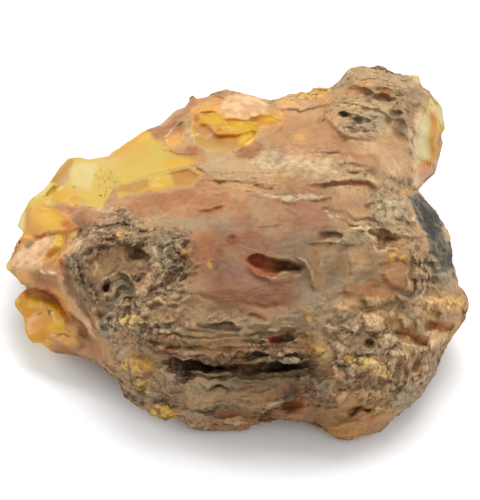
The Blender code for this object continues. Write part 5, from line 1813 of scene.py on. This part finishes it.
@dataclass(frozen=True)
class Rind:
    """Finish of the milky skin, the weathered crust and the stains in them, with painted shade in
    hollows, creases and low places and painted highlights on edges and specks.
    """

    milk: Colour = tint(160, 131, 92)
    honeyed: Colour = tint(162, 120, 74)
    ash: Colour = tint(144, 119, 88)
    rose: Colour = tint(156, 112, 74)
    deep_rose: Colour = tint(142, 92, 54)
    glow: Colour = tint(204, 146, 62)
    ember: Colour = tint(172, 104, 50)
    crust: Colour = tint(150, 122, 92)
    dark_crust: Colour = tint(106, 84, 60)
    grey: Colour = tint(130, 120, 94)
    # Cream for pale skin and worn edges, also painted highlights on crests.
    cream: Colour = tint(194, 174, 136)
    pale: Colour = tint(204, 166, 122)
    gold: Colour = tint(206, 162, 64)
    rust: Colour = tint(146, 74, 40)
    soot: Colour = tint(44, 38, 32)
    # Dark brown for dirt and dark cracks, also laid as painted shade in hollows, creases and the
    # deep crevice.
    dirt_and_shade: Colour = tint(46, 33, 20)
    # Multiplier for the middle and low front: partly a brown film, partly painted shade.
    grime: Colour = (0.76, 0.73, 0.71, 1.0)
    # Multiplier for the SHADE zone: painted shade, and in the middle partly a brown film.
    film_and_shade: Colour = (0.68, 0.585, 0.47, 1.0)
    # Multipliers for the fine specks: painted shade in pits and painted glints on crests, partly
    # the crust's own grain.
    shade: Colour = (0.40, 0.35, 0.29, 1.0)
    shine: Colour = (1.13, 1.15, 1.17, 1.0)
    warm: Colour = (1.05, 0.98, 0.92, 1.0)
    cool: Colour = (0.95, 1.0, 1.0, 1.0)
    radius: tuple[float, float, float] = (1.0, 0.65, 0.4)
    reach: float = 1.6 * MM

    def colour(self, bench: Bench, skin: Textures) -> Signal:
        """Mix the rind's colour from its zones.

        Args:
            bench: the material's bench.
            skin: the noise on it.

        Returns:
            The colour.
        """
        hollow = bench.zone(Zone.HOLLOW) + (skin.fine - 0.5) * 0.2
        rough = bench.zone(Zone.CRUST)
        warm = bench.mix(skin.broad.step(0.38, 0.62), self.milk, self.honeyed)
        warm = bench.mix(skin.middle.step(0.45, 0.65) * 0.6, warm, self.ash)
        warm = bench.mix(skin.strata.step(0.5, 0.72) * 0.25, warm, self.deep_rose)
        rosy = bench.mix(skin.middle.step(0.3, 0.6), self.rose, self.deep_rose)
        rosy = bench.mix(skin.strata.step(0.48, 0.7) * 0.4, rosy, self.milk)
        colour = bench.mix(bench.patch(Zone.ROSE, skin.ragged, 0.9, 0.9), warm, rosy)
        amber = bench.mix(skin.ragged.step(0.4, 0.6), self.glow, self.honeyed)
        colour = bench.mix(bench.patch(Zone.HONEY, skin.ragged, 0.8, 1.0) * 0.85, colour, amber)
        ember = bench.patch(Zone.ORANGE, skin.ragged, 0.8, 0.8) * 0.8
        colour = bench.mix(ember, colour, self.ember)
        crumbs = bench.mix(skin.fine.step(0.38, 0.62), self.dark_crust, self.crust)
        crumbs = bench.mix(skin.hues.step(0.5, 0.66) * 0.6, crumbs, self.rose)
        crumbs = bench.mix(skin.strata.step(0.52, 0.34) * 0.4, crumbs, self.grey)
        colour = bench.mix(bench.patch(Zone.CRUST, skin.ragged, 1.1, 0.6) * 0.9, colour, crumbs)
        colour = bench.mix(bench.patch(Zone.GREY, skin.ragged, 1.0, 0.9) * 0.75, colour, self.grey)
        colour = bench.mix(0.45, colour, bench.mix(skin.hues.step(0.4, 0.6), self.warm, self.cool),
                           "MULTIPLY")
        gold = bench.patch(Zone.GOLD, skin.ragged, 1.2, 0.6)
        colour = bench.mix(gold * skin.fine.step(0.42, 0.56) * 0.9, colour, self.gold)
        pale = bench.mix(skin.hues.step(0.4, 0.64) * 0.6, self.pale, self.rose)
        colour = bench.mix(bench.patch(Zone.PALE, skin.middle, 0.35, 1.0) * 0.85, colour, pale)
        cream = bench.patch(Zone.CREAM, skin.fine, 1.1, 0.6)
        colour = bench.mix(cream * 0.75, colour, self.cream)
        crease = bench.zone(Zone.CREASE)
        # Cream on raised places and crease edges: partly wear, partly painted highlight.
        wear_and_highlight = hollow.step(0.44, 0.14) * (0.1 + rough * 0.2)
        wear_and_highlight = wear_and_highlight | crease.step(0.4, 0.05) * (0.1 + rough * 0.45)
        colour = bench.mix(wear_and_highlight, colour, self.cream)
        soot = bench.patch(Zone.CHARCOAL, skin.ragged, 1.8, 0.35)
        ashy = (skin.middle * 0.6 + skin.fine * 0.4).step(0.46, 0.6) * 0.55
        colour = bench.mix(soot, colour, bench.mix(ashy, self.soot, self.grey))
        dark = bench.patch(Zone.DARK, skin.fine, 0.7, 0.8)
        # Darker where the mesh sinks below its neighbours and in the DARK zone: partly dirt and
        # dark cracks, partly painted shade in hollows, creases and the crevice.
        dirt_and_shade = hollow.step(0.58, 0.95) * (0.06 + rough * 0.45) | dark * 0.82
        dirt_and_shade = dirt_and_shade | crease.step(0.6, 0.95) * (0.04 + rough * 0.5)
        colour = bench.mix(dirt_and_shade, colour, self.dirt_and_shade)
        cracked = skin.cracks.step(0.06, 0.0) * rough * skin.middle.step(0.45, 0.6)
        colour = bench.mix(cracked * 0.45, colour, self.dirt_and_shade)
        # Darker over the middle, the low front and a spot on the horn: partly a brown film, partly
        # painted shade.
        grime = bench.patch(Zone.GRIME, skin.broad, 0.8, 1.0)
        colour = bench.mix(grime, colour, self.grime, "MULTIPLY")
        # Painted shade under overhangs, along the crevice, under the crown's band and at the
        # bottom, and partly a brown film in the middle.
        film_and_shade = bench.patch(Zone.SHADE, skin.broad, 0.5, 1.0)
        colour = bench.mix(film_and_shade, colour, self.film_and_shade, "MULTIPLY")
        rust = bench.patch(Zone.RUST, skin.fine, 0.8, 0.8) * (1.0 - dark * 0.9)
        colour = bench.mix(rust * 0.8, colour, self.rust)
        # Random fine specks darkened and lightened over the crust: partly its grain, partly painted
        # shade in pits and painted glints on crests.
        grains = (skin.specks * 0.55 + skin.fine * 0.45).step(0.35, 0.52)
        grit_shade_and_glint = bench.mix(grains, self.shade, self.shine)
        return bench.mix(0.3 + rough * 0.7, colour, grit_shade_and_glint, "MULTIPLY")

    def shader(self, bench: Bench, skin: Textures, normal: Signal) -> Signal:
        """Add the rind's shader.

        Args:
            bench: the material's bench.
            skin: the noise on it.
            normal: the surface's normal with its bumps.

        Returns:
            The shader.
        """
        dull = bench.zone(Zone.CRUST) * 0.25 | bench.zone(Zone.RUST) * 0.4
        roughness = 0.5 + dull + (skin.fine - 0.5) * 0.4
        sockets = {
            "Base Color": self.colour(bench, skin),
            "Roughness": roughness,
            "Normal": normal,
            "Subsurface Weight": 0.2,
            "Subsurface Radius": self.radius,
            "Subsurface Scale": self.reach,
            "IOR": 1.5,
            "Specular IOR Level": 0.32,
        }
        return bench.node("ShaderNodeBsdfPrincipled", {}, sockets)


@dataclass(frozen=True)
class ClearAmber:
    """Finish of the clean breaks, where light goes through."""

    lemon: Colour = tint(238, 204, 88)
    honey: Colour = tint(234, 166, 46)
    orange: Colour = tint(212, 124, 30)
    # Sunny yellow for gold in the clear, also painted glow on the lower window facet.
    sun: Colour = tint(250, 194, 48)
    tan: Colour = tint(210, 152, 76)
    # Pale straw for milky and frosted facets, also the painted glints near the left rim.
    straw: Colour = tint(244, 226, 150)
    speck: Colour = tint(150, 88, 26)
    depth: Colour = tint(250, 196, 84)
    density: float = 20.0
    clearness: float = 0.52
    radius: tuple[float, float, float] = (1.0, 0.7, 0.3)
    reach: float = 6 * MM

    def shader(self, bench: Bench, skin: Textures, normal: Signal) -> Signal:
        """Add the clear amber's shader.

        Args:
            bench: the material's bench.
            skin: the noise on it.
            normal: the surface's normal with its bumps.

        Returns:
            The shader.
        """
        colour = bench.mix(bench.patch(Zone.HONEY, skin.middle, 0.5, 1.0), self.lemon, self.honey)
        colour = bench.mix(bench.patch(Zone.ROSE, skin.ragged, 0.7, 1.0) * 0.8, colour, self.tan)
        colour = bench.mix(bench.patch(Zone.GOLD, skin.ragged, 0.5, 1.0), colour, self.sun)
        colour = bench.mix(bench.patch(Zone.ORANGE, skin.ragged, 0.7, 0.9), colour, self.orange)
        colour = bench.mix(bench.patch(Zone.PALE, skin.middle, 0.4, 1.0) * 0.85, colour, self.straw)
        streaks = bench.noise(1.0, 2.0, bench.stretched((2400.0, 420.0, 420.0)))
        dark = bench.patch(Zone.DARK, streaks, 1.1, 0.3)
        colour = bench.mix(dark * 0.8, colour, self.speck)
        sockets = {
            "Base Color": colour,
            "Roughness": 0.3 + (skin.middle - 0.4) * 0.4,
            "Specular IOR Level": 0.35,
            "Normal": normal,
            "IOR": 1.54,
            "Transmission Weight": self.clearness,
            "Subsurface Weight": 0.6,
            "Subsurface Radius": self.radius,
            "Subsurface Scale": self.reach,
        }
        return bench.node("ShaderNodeBsdfPrincipled", {}, sockets)

    def volume(self, bench: Bench) -> Signal:
        """Add the honey colour that light takes on inside."""
        sockets = {"Color": self.depth, "Density": self.density}
        return bench.node("ShaderNodeVolumeAbsorption", {}, sockets)


@dataclass(frozen=True)
class RawAmber:
    """The lump's one material: clear amber where the rind is broken away."""

    rind: Rind = field(default_factory=Rind)
    clear: ClearAmber = field(default_factory=ClearAmber)

    def material(self) -> bpy.types.Material:
        """Build the material.

        Returns:
            The material.
        """
        bench = Bench.start(bpy.data.materials.new("raw_amber"))
        skin = Textures.on(bench)
        window = bench.patch(Zone.WINDOW, skin.ragged, 0.35, 0.5)
        rough = bench.zone(Zone.CRUST)
        relief = skin.fine * (0.3 + rough * 1.3) + skin.specks * rough * 1.2
        relief = relief + skin.middle * 0.5 + skin.strata * 0.4
        rind_normal = bench.node("ShaderNodeBump", {}, {"Strength": 0.65, "Distance": 0.8 * MM,
                                                        "Height": relief})
        clear_normal = bench.node("ShaderNodeBump", {}, {"Strength": 0.15, "Distance": 0.4 * MM,
                                                         "Height": skin.middle})
        surface = bench.node("ShaderNodeMixShader", {}, {
            0: window,
            1: self.rind.shader(bench, skin, rind_normal),
            2: self.clear.shader(bench, skin, clear_normal),
        })
        bench.node("ShaderNodeOutputMaterial", {}, {
            "Surface": surface,
            "Volume": self.clear.volume(bench),
        })
        return bench.owner


@dataclass(frozen=True)
class Studio:
    """A pale floor, soft light from all round, and a camera that looks down at 45 degrees.

    Attributes:
        sheet: the leaning sheet, which the camera faces squarely.
        middle: the place on the sheet at the middle of the picture, in drawing units.
        tall: drawing units from the picture's top to its bottom.
        lens: focal length in millimetres.
        sensor: size of the sensor along the picture's longer side, in millimetres.
        nearer: how far the lump's skin stands in front of the sheet on average, in metres.
        room: brightness of the light from all round.
        backdrop: brightness of the room where the camera looks into it.
        air: colour of that light.
        aim_height: height above the floor that the lamps face, in metres.
    """

    sheet: Sheet
    middle: Point = (240.0, 250.0)
    tall: float = 500.0
    lens: float = 800.0
    sensor: float = 36.0
    nearer: float = 0.040
    room: float = 0.64
    backdrop: float = 1.05
    air: Colour = (0.96, 0.98, 1.0, 1.0)
    aim_height: float = 0.02

    def floor(self) -> bpy.types.Object:
        """Lay a wide pale floor just under the lump.

        Returns:
            The floor.
        """
        half, level, cells = 4.0, -0.2 * MM, 8
        steps = np.linspace(-half, half, cells + 1)
        points = [(x, y, level) for y in steps for x in steps]
        row = cells + 1
        faces = [(a, a + 1, a + 1 + row, a + row)
                 for a in (y * row + x for y in range(cells) for x in range(cells))]
        mesh = bpy.data.meshes.new("pale_floor")
        mesh.from_pydata(points, [], faces)
        floor = bpy.data.objects.new("pale_floor", mesh)
        bpy.context.collection.objects.link(floor)
        bench = Bench.start(bpy.data.materials.new("pale_floor"))
        cloudy = bench.noise(6.0, 2.0)
        colour = bench.mix(cloudy, tint(228, 228, 229), tint(234, 234, 235))
        sockets = {"Base Color": colour, "Roughness": 0.7}
        shader = bench.node("ShaderNodeBsdfPrincipled", {}, sockets)
        bench.node("ShaderNodeOutputMaterial", {}, {"Surface": shader})
        mesh.materials.append(bench.owner)
        return floor

    def lamp(self, name: str, at: tuple[float, float, float], size: float, watts: float) -> None:
        """Hang a square soft light that faces the lump.

        Args:
            name: its name.
            at: its place in metres.
            size: its edge in metres.
            watts: its power.
        """
        data = bpy.data.lights.new(name, "AREA")
        data.size = size
        data.energy = watts
        lamp = bpy.data.objects.new(name, data)
        lamp.location = at
        facing = Vector((0.0, 0.0, self.aim_height)) - lamp.location
        lamp.rotation_euler = facing.to_track_quat("-Z", "Y").to_euler()
        lamp.visible_camera = False
        bpy.context.collection.objects.link(lamp)

    def daylight(self) -> None:
        """Fill the room with near-white light."""
        bench = Bench.start(bpy.data.worlds.new("soft_room"))
        seen = bench.node("ShaderNodeLightPath", output="Is Camera Ray")
        strength = bench.node("ShaderNodeMapRange", {}, {
            "Value": seen,
            "To Min": self.room,
            "To Max": self.backdrop,
        })
        sky = bench.node("ShaderNodeBackground", {}, {"Color": self.air, "Strength": strength})
        bench.node("ShaderNodeOutputWorld", {}, {"Surface": sky})
        bpy.context.scene.world = bench.owner
        bpy.context.scene.view_settings.view_transform = "Standard"

    def camera(self) -> None:
        """Set the camera square to the sheet, far away behind a long lens."""
        data = bpy.data.cameras.new("camera")
        data.lens = self.lens
        data.sensor_width = self.sensor
        data.clip_end = 50.0
        camera = bpy.data.objects.new("camera", data)
        bpy.context.collection.objects.link(camera)
        right = (self.middle[0] - self.sheet.centre[0]) * self.sheet.unit
        up = (self.sheet.centre[1] - self.middle[1]) * self.sheet.unit
        lean = self.sheet.lean
        origin = Vector((-self.sheet.rest[0], -self.sheet.rest[1], 0.0))
        upward = Vector((0.0, math.sin(lean), math.cos(lean)))
        backward = Vector((0.0, -math.cos(lean), math.sin(lean)))
        aim = origin + Vector((right, 0.0, 0.0)) + upward * up
        distance = self.tall * self.sheet.unit * self.lens / self.sensor + self.nearer
        camera.location = aim + backward * distance
        camera.rotation_euler = backward.to_track_quat("Z", "Y").to_euler()
        bpy.context.scene.camera = camera

    def set_up(self) -> None:
        """Build the whole studio."""
        self.floor()
        self.daylight()
        self.lamp("sky_panel", (0.12, 0.26, 0.76), 0.6, 6.9)
        self.lamp("left_panel", (-0.6, 0.2, 0.4), 0.4, 2.0)
        self.lamp("front_panel", (0.2, -0.7, 0.6), 0.6, 2.5)
        self.lamp("right_panel", (0.6, -0.15, 0.35), 0.4, 0.6)
        self.camera()


def main() -> None:
    """Build the lump in place of its solid, and the studio around it."""
    logging.basicConfig(level=logging.INFO, format="%(name)s: %(message)s")
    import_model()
    amber = Lump()
    lump = amber.build()
    amber.dress(lump)
    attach(lump, "root")
    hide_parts(NODE)
    LOG.info("lump: %d squares", len(lump.data.polygons))
    Studio(Sheet()).set_up()
    LOG.info("studio ready")


if __name__ == "__main__":
    main()
